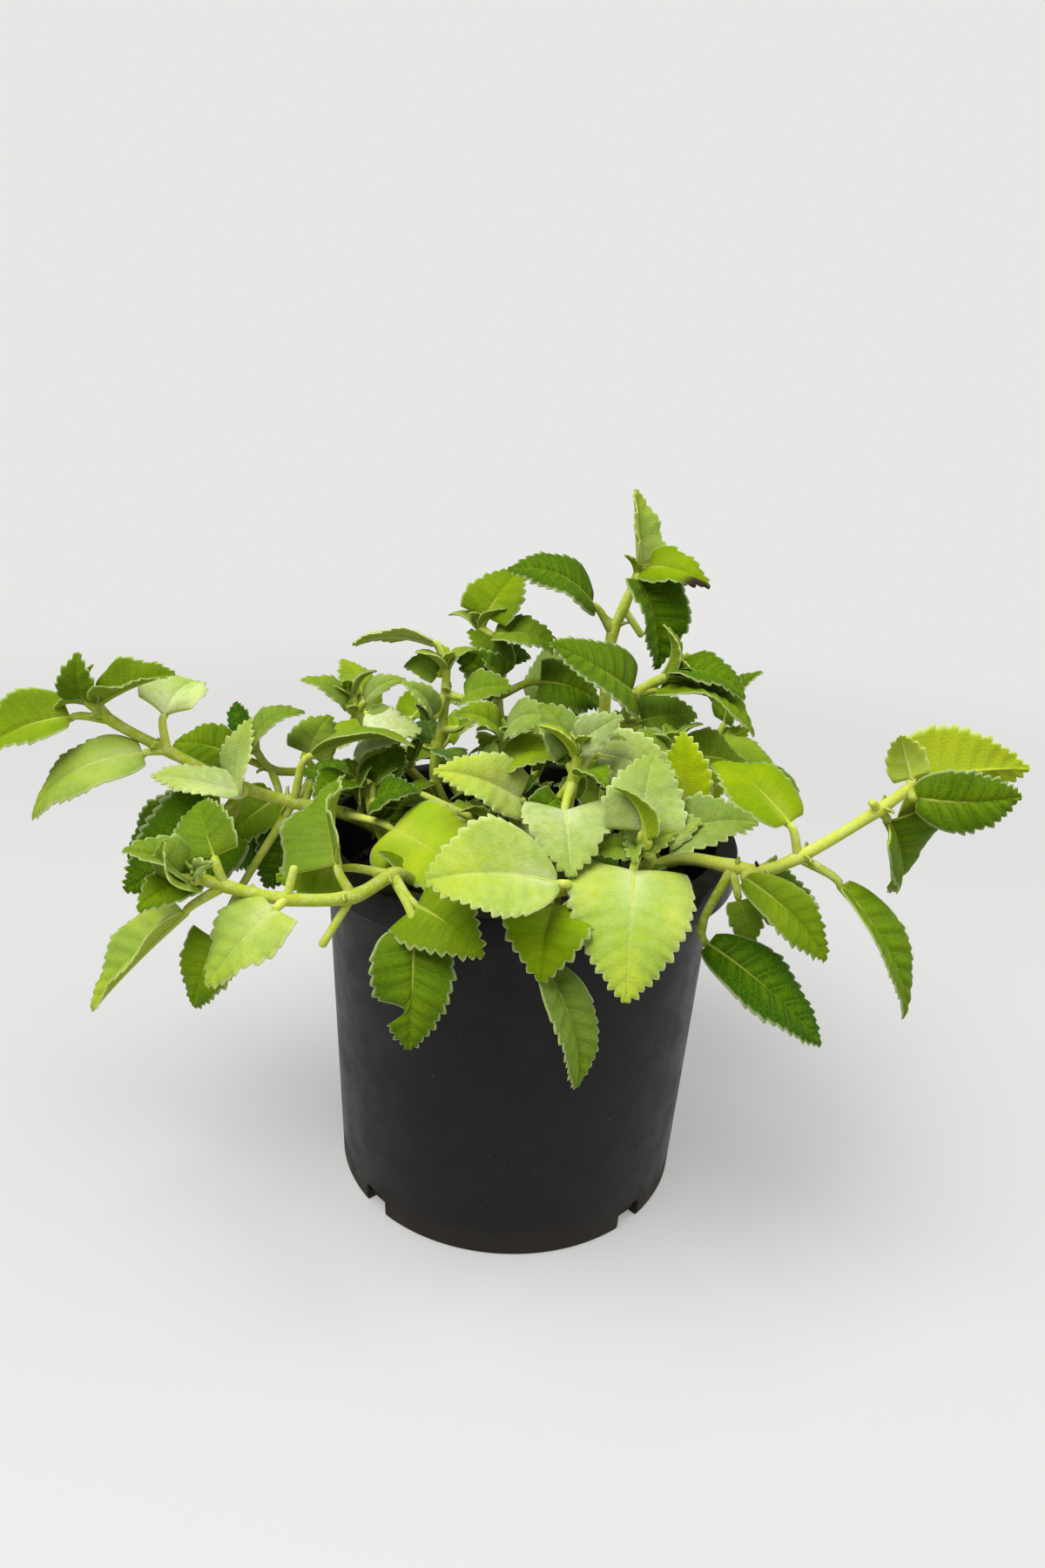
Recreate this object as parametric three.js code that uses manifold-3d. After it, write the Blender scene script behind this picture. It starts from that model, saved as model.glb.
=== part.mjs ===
// Potted Cuban oregano (Coleus amboinicus): a black nursery pot filled with potting soil, and the
// fleshy, leafy stems of one bushy plant standing in it. Millimetres, +Z up. The origin is the
// centre of the pot's underside, on the ground, and the plant's front looks along -Y.
import * as THREE from "three";
import { mergeVertices } from "three/addons/utils/BufferGeometryUtils.js";
import Module from "manifold-3d";

const wasm = await Module();
wasm.setup();

// ---- Driving dimensions -------------------------------------------------------------------

// The pot is a plain 6 inch nursery pot: a tapered wall, and a lip that turns out and down.
const POT_HEIGHT = 132;
const RIM_RADIUS = 75;
const LIP_DROP = 11;
const NECK_RADIUS = 68.5;
const FOOT_RADIUS = 63.2;
const POT_WALL = 1.6;
const POT_FLOOR = 3;
const POT_SIDES = 36;
const EDGE_BEVEL = 1;
const LIP_BEVEL = 1.2;

// Drain notches are cut through the corner between wall and floor, evenly round the foot.
const NOTCH_COUNT = 4;
const NOTCH_WIDTH = 10.5;
const NOTCH_HEIGHT = 8;
const NOTCH_DEPTH = 8;

// The soil mounds up from the pot's wall, over a shoulder, to a level top.
const SOIL_EDGE = 108;
const SOIL_SHOULDER = 111;
const SOIL_TOP = 113;
const SHOULDER_RADIUS = 50;
const MOUND_RADIUS = 20;
const SOIL_SIDES = 18;
const SEAT_GAP = 0.3;

// A cutting solid runs this far past what it cuts.
const CUT_PAST = 5;

// Stems stand in holes of their own depth, each with a little room all round.
const STEM_FOOT = 98;
const STEM_SIDES = 6;
const STEM_TAPER = 0.62;
const RINGS_PER_POINT = 1.2;

// Petioles start thin inside the stem, a little back from its end, so that they are one with it.
// A blade whose base is within reach of its node has no petiole.
const PETIOLE_RADIUS = 1.15;
const PETIOLE_START = 0.75;
const PETIOLE_SIDES = 4;
const ROOT_SHARE = 0.07;
const END_INSET = 1;
const SESSILE_REACH = 1.38;

// Blades are slabs with a toothed margin. Long blades carry more teeth than short ones. The two
// powers shape the outline's base and tip, and with them where the blade is broadest.
const BLADE_THICKNESS = 0.9;
const BASE_POWER = 0.38;
const TIP_POWER = 0.86;
const BROADEST_AT = BASE_POWER / (BASE_POWER + TIP_POWER);
const TOOTH_LENGTH = 10;
const FEWEST_TEETH = 2;
const MOST_TEETH = 4;
const TOOTH_RISE = 0.16;
const NOTCH_FALL = 0.06;
const TOOTH_SWEEP = 0.3;

// Opposite leaves set by rule, as shares of their length: the petiole's reach out and forward, the
// blade's width; then how much the blade leans forward and droops, its face's lean, fold and arch.
const PAIR = {
  out: 0.3, along: 0.12, width: 0.78, forward: 0.35, droop: 0.25, lean: 0.2, fold: 14, arch: 0.12,
};

// A crown's pairs, from the outside in: their share of the longest leaf, and their spread from the
// stem, in degrees. Then how far its leaves stand out from the stem's end and back along it, in
// millimetres, their width as a share of their length, fold and arch. ASIDE only has to be a
// direction that no stem ends in: the crown's turn is counted from it.
const CROWN_PAIRS = [{ share: 1, spread: 58 }, { share: 0.68, spread: 30 }];
const CROWN = { out: 0.7, back: 0.6, width: 0.62, fold: 28, arch: 0.12 };
const SMALL_CROWN = 13;
const ASIDE = new THREE.Vector3(0.3, 0.9, 0.2);

const LEAF_FINISH = { color: 0x7fa51a, roughness: 0.6, metalness: 0 };
const POT_FINISH = { color: 0x1b1b1d, roughness: 0.45, metalness: 0 };
const SOIL_FINISH = { color: 0x2b211b, roughness: 1, metalness: 0 };

// ---- The plant ------------------------------------------------------------------------------
// Each stem has a thickness, and a path whose first point is where it leaves the soil. Its leaves
// are rows: the path point that they grow from, where the petiole ends and the blade begins, the
// blade's tip, its width, the way that its upper face looks, how far its halves fold up, in
// degrees, and its arch as a share of its length. A row with no tip is a bare petiole. Pairs are
// opposite leaves set by rule: their path point, their length, and their turn round the stem. A
// crown is the tuft of young leaves at the end: the length of its longest pair, and its turn.

const STEMS = [
  {
    name: "stem_left_high",
    thick: 5,
    path: [
      [-26, 0, 116], [-46, -4, 126], [-61, -8, 135], [-79, -12, 140],
      [-95, -14, 145], [-119, -18, 158], [-136, -20, 168], [-143, -20, 174],
    ],
    crown: [17, 20],
    leaves: [
      [2, [-46, -24, 139], [-12, -48, 133], 33, [1, -3, 5], 10, 0.1],
      [3, [-72, -11, 157], [-38, -7, 163], 29, [0, 2, 10], 25, 0.12],
      [3, [-92, -17, 107], [-113, -26, 64], 34, [-1, -3, 2], 10, 0.08],
      [4, [-97, -23, 147], [-127, -38, 137], 30, [1, 3, 1], 18, -0.12],
      [4, [-102, -8, 132], [-140, -2, 116], 36, [-1, -4, 3], 12, 0.08],
      [5, [-119, -18, 170], [-106, -44, 186], 30, [0, 3, 4], 25, 0.08],
      [5, [-125, -23, 158], [-159, -32, 137], 27, [-2, -3, 4], 20, 0.1],
      [6, [-149, -20, 168], [-178, -26, 154], 26, [-1, -3, 4], 28, 0.1],
      [6, [-139, -20, 175], [-112, -24, 187], 24, [0, -2, 3], 32, 0.1],
    ],
  },
  {
    name: "stem_left_low",
    thick: 5,
    path: [
      [-29, -32, 116], [-34, -50, 131], [-38, -60, 137], [-48, -72, 135],
      [-66, -76, 135], [-83, -78, 139], [-90, -78, 141],
    ],
    crown: [20, 10],
    leaves: [
      [2, [-32, -74, 133], [-12, -92, 126], 26, [0, -4, 3], 12, 0.1],
      [2, [-29, -81, 129], [-29, -90, 97], 28, [0, -4, 1], 12, 0.06],
      [3, [-53, -70, 144], [-58, -42, 165], 31, [-1, -4, 1], 28, 0.06],
      [3, [-56, -76, 121]],
      [4, [-64, -74, 144]],
      [4, [-67, -82, 132], [-78, -100, 112], 28, [-1, -4, 3], 10, 0.1],
      [5, [-86, -76, 147], [-94, -55, 162], 22, [0, -4, 2], 25, 0.08],
      [5, [-94, -80, 131], [-118, -90, 104], 25, [-3, -2, 4], 30, 0.08],
    ],
  },
  {
    name: "stem_left_rear",
    thick: 4.2,
    path: [[-38, 18, 116], [-56, 22, 135], [-78, 20, 140], [-93, 15, 142], [-98, 12, 150]],
    crown: [13, 60],
    leaves: [
      [3, [-104, 14, 146], [-131, 22, 147], 22, [-1, -2, 4], 15, 0.1],
      [4, [-97, 10, 155], [-80, 12, 165], 17, [-1, -2, 4], 20, 0.14],
      [4, [-101, 14, 153], [-108, 24, 164], 11, [0, -3, 2], 35, 0],
      [2, [-80, 17, 148], [-73, 24, 161], 19, [0, -4, 2], 10, 0.1],
      [2, [-87, 9, 127], [-106, 5, 106], 28, [-1, -3, 2], 10, 0.1],
      [3, [-90, 8, 133], [-108, -2, 119], 20, [-1, -3, 2], 10, 0.1],
    ],
  },
  {
    name: "stem_left_inner",
    thick: 4,
    path: [[-44, -12, 116], [-52, -10, 136], [-57, -2, 145]],
    crown: [14, 20],
    leaves: [
      [1, [-50, -16, 144], [-36, -22, 150], 16, [0, -2, 4], 15, 0.1],
      [1, [-52, -4, 146], [-44, 8, 155], 16, [0, -3, 3], 15, 0.1],
      [2, [-62, 2, 143], [-80, 8, 144], 17, [0, -2, 4], 15, 0.1],
      [2, [-60, -6, 146], [-70, -20, 145], 15, [0, -2, 4], 15, 0.1],
    ],
  },
  {
    name: "stem_rear_left",
    thick: 4,
    path: [[-20, 24, 116], [-46, 24, 144], [-56, 20, 154], [-62, 18, 165], [-64, 18, 171]],
    crown: [12, 30],
    leaves: [
      [3, [-66, 16, 167], [-81, 12, 177], 14, [1, -2, 4], 25, 0.15],
      [3, [-59, 17, 169], [-45, 20, 177], 12, [0, -2, 4], 25, 0.15],
      [2, [-57, 11, 162], [-44, 6, 167], 13, [0, -3, 3], 15, 0.05],
      [2, [-53, 12, 156], [-34, 8, 163], 17, [0, 3, 2], 15, -0.05],
    ],
  },
  {
    name: "stem_centre_left",
    thick: 4.2,
    path: [[-18, 4, 116], [-32, 0, 148], [-30, 0, 165], [-29, 0, 178], [-29, 0, 187]],
    crown: [12, 45],
    leaves: [
      [4, [-34, 1, 195], [-60, -4, 194], 20, [0, 3, 3], 20, 0.14],
      [4, [-32, 2, 184], [-44, 8, 185], 12, [0, -3, 3], 20, 0.1],
      [3, [-33, -4, 171], [-43, -8, 183], 12, [1, -2, 3], 30, 0.15],
      [3, [-22, -4, 178], [-6, -8, 183], 16, [0, -2, 3], 20, 0.1],
      [2, [-23, -6, 168], [-12, -10, 174], 11, [0, -2, 3], 20, 0.1],
    ],
  },
  {
    name: "stem_centre_tall",
    thick: 4.2,
    path: [[0, 16, 116], [-9, 14, 156], [-12, 15, 174], [-17, 16, 189], [-19, 16, 198]],
    crown: [12, 0],
    leaves: [
      [4, [-17, 16, 202], [-6, 28, 217], 22, [-2, -4, 1], 12, 0.06],
      [4, [-14, 14, 196], [10, 12, 191], 19, [0, -2, 4], 22, 0.14],
      [3, [-10, 13, 182], [-23, 15, 197], 15, [1, -3, 3], 20, 0.1],
      [3, [-12, 18, 186], [-1, 24, 187], 10, [0, -3, 3], 20, 0.1],
      [2, [3, 15, 181], [24, 18, 176], 19, [0, -3, 4], 15, 0.16],
    ],
  },
  {
    name: "stem_centre_low",
    thick: 4,
    path: [[2, -6, 116], [-6, -16, 150], [-8, -18, 169]],
    crown: [10, 45],
    leaves: [
      [2, [-7, -20, 172], [9, -28, 179], 15, [0, -3, 4], 20, 0.14],
      [2, [-10, -20, 172], [-24, -26, 178], 14, [0, -3, 4], 20, 0.1],
      [1, [-8, -22, 161], [13, -28, 166], 18, [0, -2, 4], 15, 0.16],
      [1, [-4, -30, 152], [-29, -38, 162], 25, [1, -3, 4], 12, 0.1],
    ],
  },
  {
    name: "stem_tall",
    thick: 5,
    path: [
      [18, 14, 116], [26, 11, 160], [26, 11, 177], [26, 12, 190],
      [27, 14, 199], [30, 14, 208], [34, 16, 219],
    ],
    crown: [9, 45],
    leaves: [
      [4, [19, 12, 209], [-10, 4, 220], 24, [0, 0, 10], 20, 0.2],
      [6, [35, 16, 222], [31, 20, 247], 19, [3, -3, 0], 38, 0],
      [6, [37, 14, 222], [57, 4, 218], 19, [0, -3, 4], 22, 0.12],
      [6, [38, 10, 217], [55, 4, 192], 26, [1, -4, 1], 15, 0.05],
      [5, [37, 14, 199]],
    ],
  },
  {
    name: "stem_right_shoot",
    thick: 5,
    path: [[28, -2, 116], [28, -6, 158], [31, -6, 172], [35, -6, 183], [44, -8, 190]],
    crown: [17, 0],
    leaves: [
      [4, [46, -8, 191], [69, -16, 186], 22, [0, -1, 4], 22, 0.14],
      [3, [42, -8, 185], [73, -18, 174], 24, [1, -1, 3], 25, 0.14],
      [3, [33, -8, 184], [5, -20, 201], 28, [1, -2, 4], 18, 0.12],
      [2, [40, -3, 172], [54, 2, 176], 12, [0, -2, 3], 20, 0.1],
    ],
  },
  {
    name: "stem_front_centre",
    thick: 4.5,
    path: [[12, -24, 116], [13, -44, 154], [14, -46, 165], [15, -46, 173]],
    crown: [15, 20],
    leaves: [
      [2, [12, -54, 160], [14, -76, 150], 30, [0, -2, 1], 8, 0.1],
      [2, [22, -38, 171], [48, -44, 164], 26, [-1, -3, 3], 12, 0.1],
      [3, [16, -46, 177], [27, -50, 187], 14, [0, -3, 3], 20, 0.1],
      [3, [13, -42, 173], [3, -34, 185], 15, [0, -4, 3], 20, 0.1],
      [2, [11, -46, 162], [-2, -54, 158], 12, [0, -2, 3], 20, 0.1],
    ],
  },
  {
    name: "stem_front_low",
    thick: 4.5,
    path: [[14, -38, 116], [26, -58, 137], [16, -66, 139], [6, -72, 138]],
    leaves: [
      [2, [9, -82, 146], [-27, -94, 149], 36, [0, -3, 4], 12, 0.1],
      [3, [6, -76, 137], [2, -94, 118], 26, [0, -4, 3], 10, 0.1],
      [3, [7, -84, 124], [19, -92, 89], 22, [3, -3, 0], 38, 0.06],
    ],
  },
  {
    name: "stem_front",
    thick: 4.5,
    path: [[24, -28, 116], [39, -52, 143], [34, -62, 151]],
    crown: [15, 15],
    leaves: [
      [2, [32, -70, 147], [30, -98, 121], 36, [0, -4, 2], 8, 0.1],
      [2, [43, -62, 155], [66, -68, 163], 22, [0, -3, 4], 15, 0.1],
      [2, [30, -66, 165], [39, -62, 178], 15, [0, -4, 3], 15, 0.05],
    ],
  },
  {
    name: "stem_right_long",
    thick: 5,
    path: [
      [38, -16, 116], [50, -29, 134], [66, -41, 138], [74, -46, 139],
      [84, -50, 146], [104, -54, 164], [111, -56, 172],
    ],
    leaves: [
      [4, [80, -48, 156], [58, -20, 169], 31, [1, -3, 4], 15, 0.1],
      [4, [97, -54, 139], [119, -64, 101], 21, [3, -1, 3], 25, 0.08],
      [5, [106, -52, 160], [127, -40, 138], 25, [-1, -4, 1], 10, 0.08],
      [6, [110, -58, 173], [134, -72, 186], 31, [0, -2, 4], 18, 0.14],
      [6, [114, -52, 170], [148, -48, 165], 26, [0, -4, 2], 10, 0.14],
      [6, [109, -54, 175], [104, -60, 187], 11, [-1, -2, 2], 30, 0.1],
      [3, [69, -53, 137], [93, -66, 118], 24, [1, -3, 3], 32, 0.08],
      [3, [74, -40, 133], [97, -40, 116], 20, [0, -4, 3], 20, 0.08],
      [2, [68, -49, 130], [72, -54, 116], 12, [0, -3, 3], 15, 0.08],
      [2, [58, -58, 119], [92, -74, 96], 30, [1, -4, 4], 12, 0.1],
      [4, [90, -52, 144]],
      [5, [101, -56, 167]],
    ],
  },
  {
    name: "stem_right_mid",
    thick: 4.2,
    path: [[38, 6, 116], [49, -14, 146], [49, -18, 160], [47, -18, 169]],
    crown: [12, 30],
    leaves: [
      [2, [54, -36, 154], [51, -40, 175], 17, [-2, -3, 0], 15, 0.04],
      [2, [46, -20, 166], [29, -26, 171], 15, [0, -2, 4], 20, 0.15],
      [2, [54, -13, 164], [78, -2, 152], 24, [0, -3, 4], 12, 0.12],
    ],
  },
  {
    name: "stem_centre_inner",
    thick: 4,
    path: [[-10, -18, 116], [-9, -20, 130], [-11, -16, 137]],
    crown: [12, 70],
    leaves: [
      [1, [-4, -26, 137], [7, -36, 143], 16, [0, -2, 4], 12, 0.1],
      [1, [-16, -15, 135], [-34, -8, 138], 16, [0, -2, 4], 12, 0.1],
      [2, [-47, -6, 148]],
    ],
  },
  {
    name: "stem_rear_mid",
    thick: 4.5,
    path: [[2, 34, 116], [4, 52, 138], [6, 74, 144], [8, 94, 138]],
    crown: [15, 0],
    pairs: [[1, 26, 20], [2, 31, 80], [3, 27, 10]],
    leaves: [],
  },
  {
    name: "stem_rear_right",
    thick: 4.5,
    path: [[28, 32, 116], [42, 46, 139], [60, 62, 147], [78, 76, 145]],
    crown: [15, 30],
    pairs: [[1, 27, 60], [2, 32, 0], [3, 26, 80]],
    leaves: [],
  },
  {
    name: "stem_rear_far_left",
    thick: 4.5,
    path: [[-22, 42, 116], [-37, 52, 139], [-54, 70, 144], [-68, 86, 138]],
    crown: [15, 10],
    pairs: [[1, 25, 50], [2, 32, 10], [3, 27, 90]],
    leaves: [],
  },
  {
    name: "stem_rear_low_right",
    thick: 4.2,
    path: [[46, 16, 116], [56, 25, 138], [72, 34, 143]],
    crown: [14, 50],
    pairs: [[1, 25, 70], [2, 27, 10]],
    leaves: [],
  },
];

// ---- Solids ---------------------------------------------------------------------------------

const MERGE_DISTANCE = 1e-4;

// A closed geometry with merged corners, as a solid that can be joined and cut.
function toSolid(geometry) {
  const bare = geometry.clone();
  bare.deleteAttribute("normal");
  bare.deleteAttribute("uv");
  const merged = mergeVertices(bare, MERGE_DISTANCE);
  return new wasm.Manifold(new wasm.Mesh({
    numProp: 3,
    vertProperties: Float32Array.from(merged.attributes.position.array),
    triVerts: Uint32Array.from(merged.index.array),
  }));
}

function toGeometry(solid) {
  const mesh = solid.getMesh();
  const geometry = new THREE.BufferGeometry();
  geometry.setAttribute("position", new THREE.BufferAttribute(mesh.vertProperties, 3));
  geometry.setIndex(new THREE.BufferAttribute(mesh.triVerts, 1));
  geometry.computeVertexNormals();
  return geometry;
}

function indexedGeometry(points, triangles) {
  const numbers = points.flatMap((p) => p.toArray());
  const geometry = new THREE.BufferGeometry();
  geometry.setAttribute("position", new THREE.Float32BufferAttribute(numbers, 3));
  geometry.setIndex(triangles.flat());
  return geometry;
}

const vec = (xyz) => new THREE.Vector3(...xyz);

// A tapered rod along a run of points, with flat ends. Its corner direction is carried along
// from ring to ring, so that the rod doesn't twist. It starts along X, or along Y where the rod
// itself runs nearly along X.
const NEARLY_ALONG = 0.8;

function rodSolid(centres, radii, sides) {
  const rings = [];
  const last = centres.length - 1;
  const along = (i) => {
    const behind = centres[Math.max(i - 1, 0)];
    const ahead = centres[Math.min(i + 1, last)];
    return ahead.clone().sub(behind).normalize();
  };
  const runsAlongX = Math.abs(along(0).x) >= NEARLY_ALONG;
  let corner = runsAlongX ? new THREE.Vector3(0, 1, 0) : new THREE.Vector3(1, 0, 0);
  centres.forEach((centre, i) => {
    const axis = along(i);
    corner = corner.clone().addScaledVector(axis, -corner.dot(axis)).normalize();
    const other = axis.clone().cross(corner);
    for (let k = 0; k < sides; k += 1) {
      const angle = (2 * Math.PI * k) / sides;
      rings.push(centre.clone()
        .addScaledVector(corner, radii[i] * Math.cos(angle))
        .addScaledVector(other, radii[i] * Math.sin(angle)));
    }
  });
  const triangles = [];
  for (let i = 0; i < last; i += 1) {
    for (let k = 0; k < sides; k += 1) {
      const a = i * sides + k;
      const b = i * sides + ((k + 1) % sides);
      triangles.push([a, b, b + sides], [a, b + sides, a + sides]);
    }
  }
  for (let k = 1; k < sides - 1; k += 1) {
    triangles.push([0, k + 1, k], [last * sides, last * sides + k, last * sides + k + 1]);
  }
  return toSolid(indexedGeometry(rings, triangles));
}

// ---- Leaves -----------------------------------------------------------------------------------

// Half the blade's width, as a share of its greatest, at share u of the way from base to tip:
// square-shouldered at the petiole, broadest well below the middle, and tapering to the tip.
function bladeOutline(u) {
  const base = (u / BROADEST_AT) ** BASE_POWER;
  const tip = ((1 - u) / (1 - BROADEST_AT)) ** TIP_POWER;
  return base * tip;
}

// A leaf is one skin from the stem outwards: a four-cornered petiole from the node to the base,
// then the blade. The midrib arches from base to tip, both halves fold up from it, and the margin
// of each runs from notch to tooth. Both faces have the same triangles, a thickness apart.
function leafSolid(node, [, base, tip, wide, face, fold, arch]) {
  const start = vec(base);
  const run = vec(tip).sub(start);
  const length = run.length();
  const axis = run.clone().normalize();
  const up = vec(face);
  up.addScaledVector(axis, -up.dot(axis)).normalize();
  const side = axis.clone().cross(up);
  const teeth = THREE.MathUtils.clamp(Math.round(length / TOOTH_LENGTH), FEWEST_TEETH, MOST_TEETH);
  const tilt = THREE.MathUtils.degToRad(fold);
  const onMidrib = (u) => start.clone()
    .addScaledVector(run, u)
    .addScaledVector(up, 4 * arch * length * u * (1 - u));
  const onMargin = (m, sign) => {
    const u = m / (2 * teeth);
    const isTooth = m % 2;
    const reach = (wide / 2) * bladeOutline(u) * (1 + (isTooth ? TOOTH_RISE : -NOTCH_FALL));
    return onMidrib(Math.min(u + (isTooth ? TOOTH_SWEEP / (2 * teeth) : 0), 1))
      .addScaledVector(side, sign * reach * Math.cos(tilt))
      .addScaledVector(up, reach * Math.sin(tilt));
  };

  // The sheet's points: midrib from the first tooth to the tip, then the two margins.
  const sheet = [];
  const midrib = [];
  const margin = { 1: [], "-1": [] };
  for (let i = 1; i <= teeth; i += 1) {
    midrib[i] = sheet.length;
    sheet.push(onMidrib(i / teeth));
  }
  for (const sign of [1, -1]) {
    margin[sign].push(sheet.length);
    sheet.push(start.clone().addScaledVector(side, sign * Math.min(PETIOLE_RADIUS, ROOT_SHARE * wide)));
    for (let m = 1; m < 2 * teeth; m += 1) {
      margin[sign].push(sheet.length);
      sheet.push(onMargin(m, sign));
    }
    margin[sign].push(midrib[teeth]);
  }

  const count = sheet.length;
  const points = [
    ...sheet.map((p) => p.clone().addScaledVector(up, BLADE_THICKNESS / 2)),
    ...sheet.map((p) => p.clone().addScaledVector(up, -BLADE_THICKNESS / 2)),
  ];
  const triangles = [];
  const addBoth = (a, b, c, sign) => {
    if (b === c || a === c) return;
    const top = sign > 0 ? [a, b, c] : [a, c, b];
    triangles.push(top, [top[0] + count, top[2] + count, top[1] + count]);
  };
  addBoth(margin[-1][0], margin[1][0], midrib[1], 1);
  for (const sign of [1, -1]) {
    const edge = margin[sign];
    addBoth(edge[0], edge[1], midrib[1], sign);
    addBoth(midrib[1], edge[1], edge[2], sign);
    for (let i = 1; i < teeth; i += 1) {
      addBoth(midrib[i], edge[2 * i], edge[2 * i + 1], sign);
      addBoth(midrib[i], edge[2 * i + 1], midrib[i + 1], sign);
      addBoth(midrib[i + 1], edge[2 * i + 1], edge[2 * i + 2], sign);
    }
    for (let m = 0; m < 2 * teeth; m += 1) {
      const [a, b] = sign > 0 ? [edge[m], edge[m + 1]] : [edge[m + 1], edge[m]];
      triangles.push([a, a + count, b + count], [a, b + count, b]);
    }
  }

  const root = [margin[-1][0], margin[1][0], margin[1][0] + count, margin[-1][0] + count];
  if (node.distanceTo(start) < SESSILE_REACH) {
    triangles.push([root[0], root[2], root[1]], [root[0], root[3], root[2]]);
    return toSolid(indexedGeometry(points, triangles));
  }

  // The petiole's own ring at the node, square to its direction, joined to the blade's root.
  const along = start.clone().sub(node).normalize();
  const rise = up.clone().addScaledVector(along, -up.dot(along)).normalize();
  const across = along.clone().cross(rise);
  const ring = [[-1, 1], [1, 1], [1, -1], [-1, -1]].map(([x, y]) => {
    points.push(node.clone()
      .addScaledVector(across, x * PETIOLE_START)
      .addScaledVector(rise, y * PETIOLE_START));
    return points.length - 1;
  });
  for (let k = 0; k < ring.length; k += 1) {
    const next = (k + 1) % ring.length;
    triangles.push([ring[k], ring[next], root[next]], [ring[k], root[next], root[k]]);
  }
  triangles.push([ring[0], ring[2], ring[1]], [ring[0], ring[3], ring[2]]);
  return toSolid(indexedGeometry(points, triangles));
}

// A petiole that has lost its blade.
function bareSolid(node, [, end]) {
  return rodSolid([node, vec(end)], [PETIOLE_RADIUS, PETIOLE_RADIUS], PETIOLE_SIDES);
}

// Opposite leaves spread from both sides of the stem, a little forward, and droop at the tip.
function pairRows(path, [node, length, turn]) {
  const at = vec(path[node]);
  const axis = at.clone().sub(vec(path[node - 1])).normalize();
  const level = axis.clone().cross(new THREE.Vector3(0, 0, 1)).normalize();
  const above = level.clone().cross(axis);
  return [0, 180].map((half) => {
    const angle = THREE.MathUtils.degToRad(turn + half);
    const out = level.clone().multiplyScalar(Math.cos(angle)).addScaledVector(above, Math.sin(angle));
    const base = at.clone()
      .addScaledVector(out, PAIR.out * length)
      .addScaledVector(axis, PAIR.along * length);
    const way = out.clone().addScaledVector(axis, PAIR.forward);
    way.z -= PAIR.droop;
    const tip = base.clone().addScaledVector(way.normalize(), length);
    const face = [PAIR.lean * out.x, PAIR.lean * out.y, 1];
    return [node, base.toArray(), tip.toArray(), PAIR.width * length, face, PAIR.fold, PAIR.arch];
  });
}

// The young leaves of a crown stand in two crossed pairs, the inner pair shorter and steeper. A
// small crown has only its outer pair.
function crownRows(path, [longest, turn]) {
  const node = path.length - 1;
  const end = vec(path[node]);
  const axis = end.clone().sub(vec(path[node - 1])).normalize();
  const right = axis.clone().cross(ASIDE).normalize();
  const front = axis.clone().cross(right);
  const rows = [];
  const pairs = longest < SMALL_CROWN ? CROWN_PAIRS.slice(0, 1) : CROWN_PAIRS;
  pairs.forEach(({ share, spread }, pair) => {
    const length = longest * share;
    const open = THREE.MathUtils.degToRad(spread);
    for (const half of [0, 180]) {
      const angle = THREE.MathUtils.degToRad(turn + 90 * pair + half);
      const out = right.clone().multiplyScalar(Math.cos(angle)).addScaledVector(front, Math.sin(angle));
      const way = axis.clone().multiplyScalar(Math.cos(open)).addScaledVector(out, Math.sin(open));
      const face = axis.clone().multiplyScalar(Math.sin(open)).addScaledVector(out, -Math.cos(open));
      const base = end.clone().addScaledVector(out, CROWN.out).addScaledVector(axis, -CROWN.back);
      const tip = base.clone().addScaledVector(way, length);
      const [from, to, up] = [base.toArray(), tip.toArray(), face.toArray()];
      rows.push([node, from, to, CROWN.width * length, up, CROWN.fold, CROWN.arch]);
    }
  });
  return rows;
}

// ---- Stems --------------------------------------------------------------------------------------

function footOf(path) {
  return vec(path[0]).setZ(STEM_FOOT);
}

// The stem's round body follows its path smoothly and tapers to its end. It is straight, and as
// thick as at its foot, as far as the soil reaches.
function stemBody({ path, thick }) {
  const curve = new THREE.CatmullRomCurve3([footOf(path), ...path.map(vec)], false, "centripetal");
  const steps = Math.round(RINGS_PER_POINT * path.length);
  const centres = [footOf(path)];
  for (let i = 0; i <= steps; i += 1) {
    const share = (1 + (i / steps) * (path.length - 1)) / path.length;
    centres.push(curve.getPoint(share));
  }
  const rings = centres.length - 1;
  const radii = centres.map((_, i) => (thick / 2) * (1 - (1 - STEM_TAPER) * (i / rings)));
  radii[1] = radii[0];
  return rodSolid(centres, radii, STEM_SIDES);
}

// Where a row's petiole starts: its path point, kept back from the very end of the stem.
function nodeOf(path, index) {
  const node = vec(path[index]);
  if (index < path.length - 1) return node;
  const back = vec(path[index - 1]).sub(node).normalize();
  return node.addScaledVector(back, END_INSET);
}

function leafyStem(stem) {
  const { path, leaves, pairs = [], crown } = stem;
  const rows = [...leaves, ...pairs.flatMap((pair) => pairRows(path, pair))];
  if (crown) rows.push(...crownRows(path, crown));
  const pieces = [stemBody(stem)];
  for (const row of rows) {
    const node = nodeOf(path, row[0]);
    const hasBlade = row.length > 2;
    pieces.push(hasBlade ? leafSolid(node, row) : bareSolid(node, row));
  }
  return toGeometry(wasm.Manifold.union(pieces));
}

// ---- Pot and soil ---------------------------------------------------------------------------------

const NECK_HEIGHT = POT_HEIGHT - LIP_DROP;
const upTheWall = (z) => FOOT_RADIUS + (NECK_RADIUS - FOOT_RADIUS) * (z / NECK_HEIGHT);

function lathe(profile, sides) {
  const points = profile.map(([r, z]) => new THREE.Vector2(r, z));
  const geometry = new THREE.LatheGeometry(points, sides);
  geometry.rotateX(Math.PI / 2);
  return toSolid(geometry);
}

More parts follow.
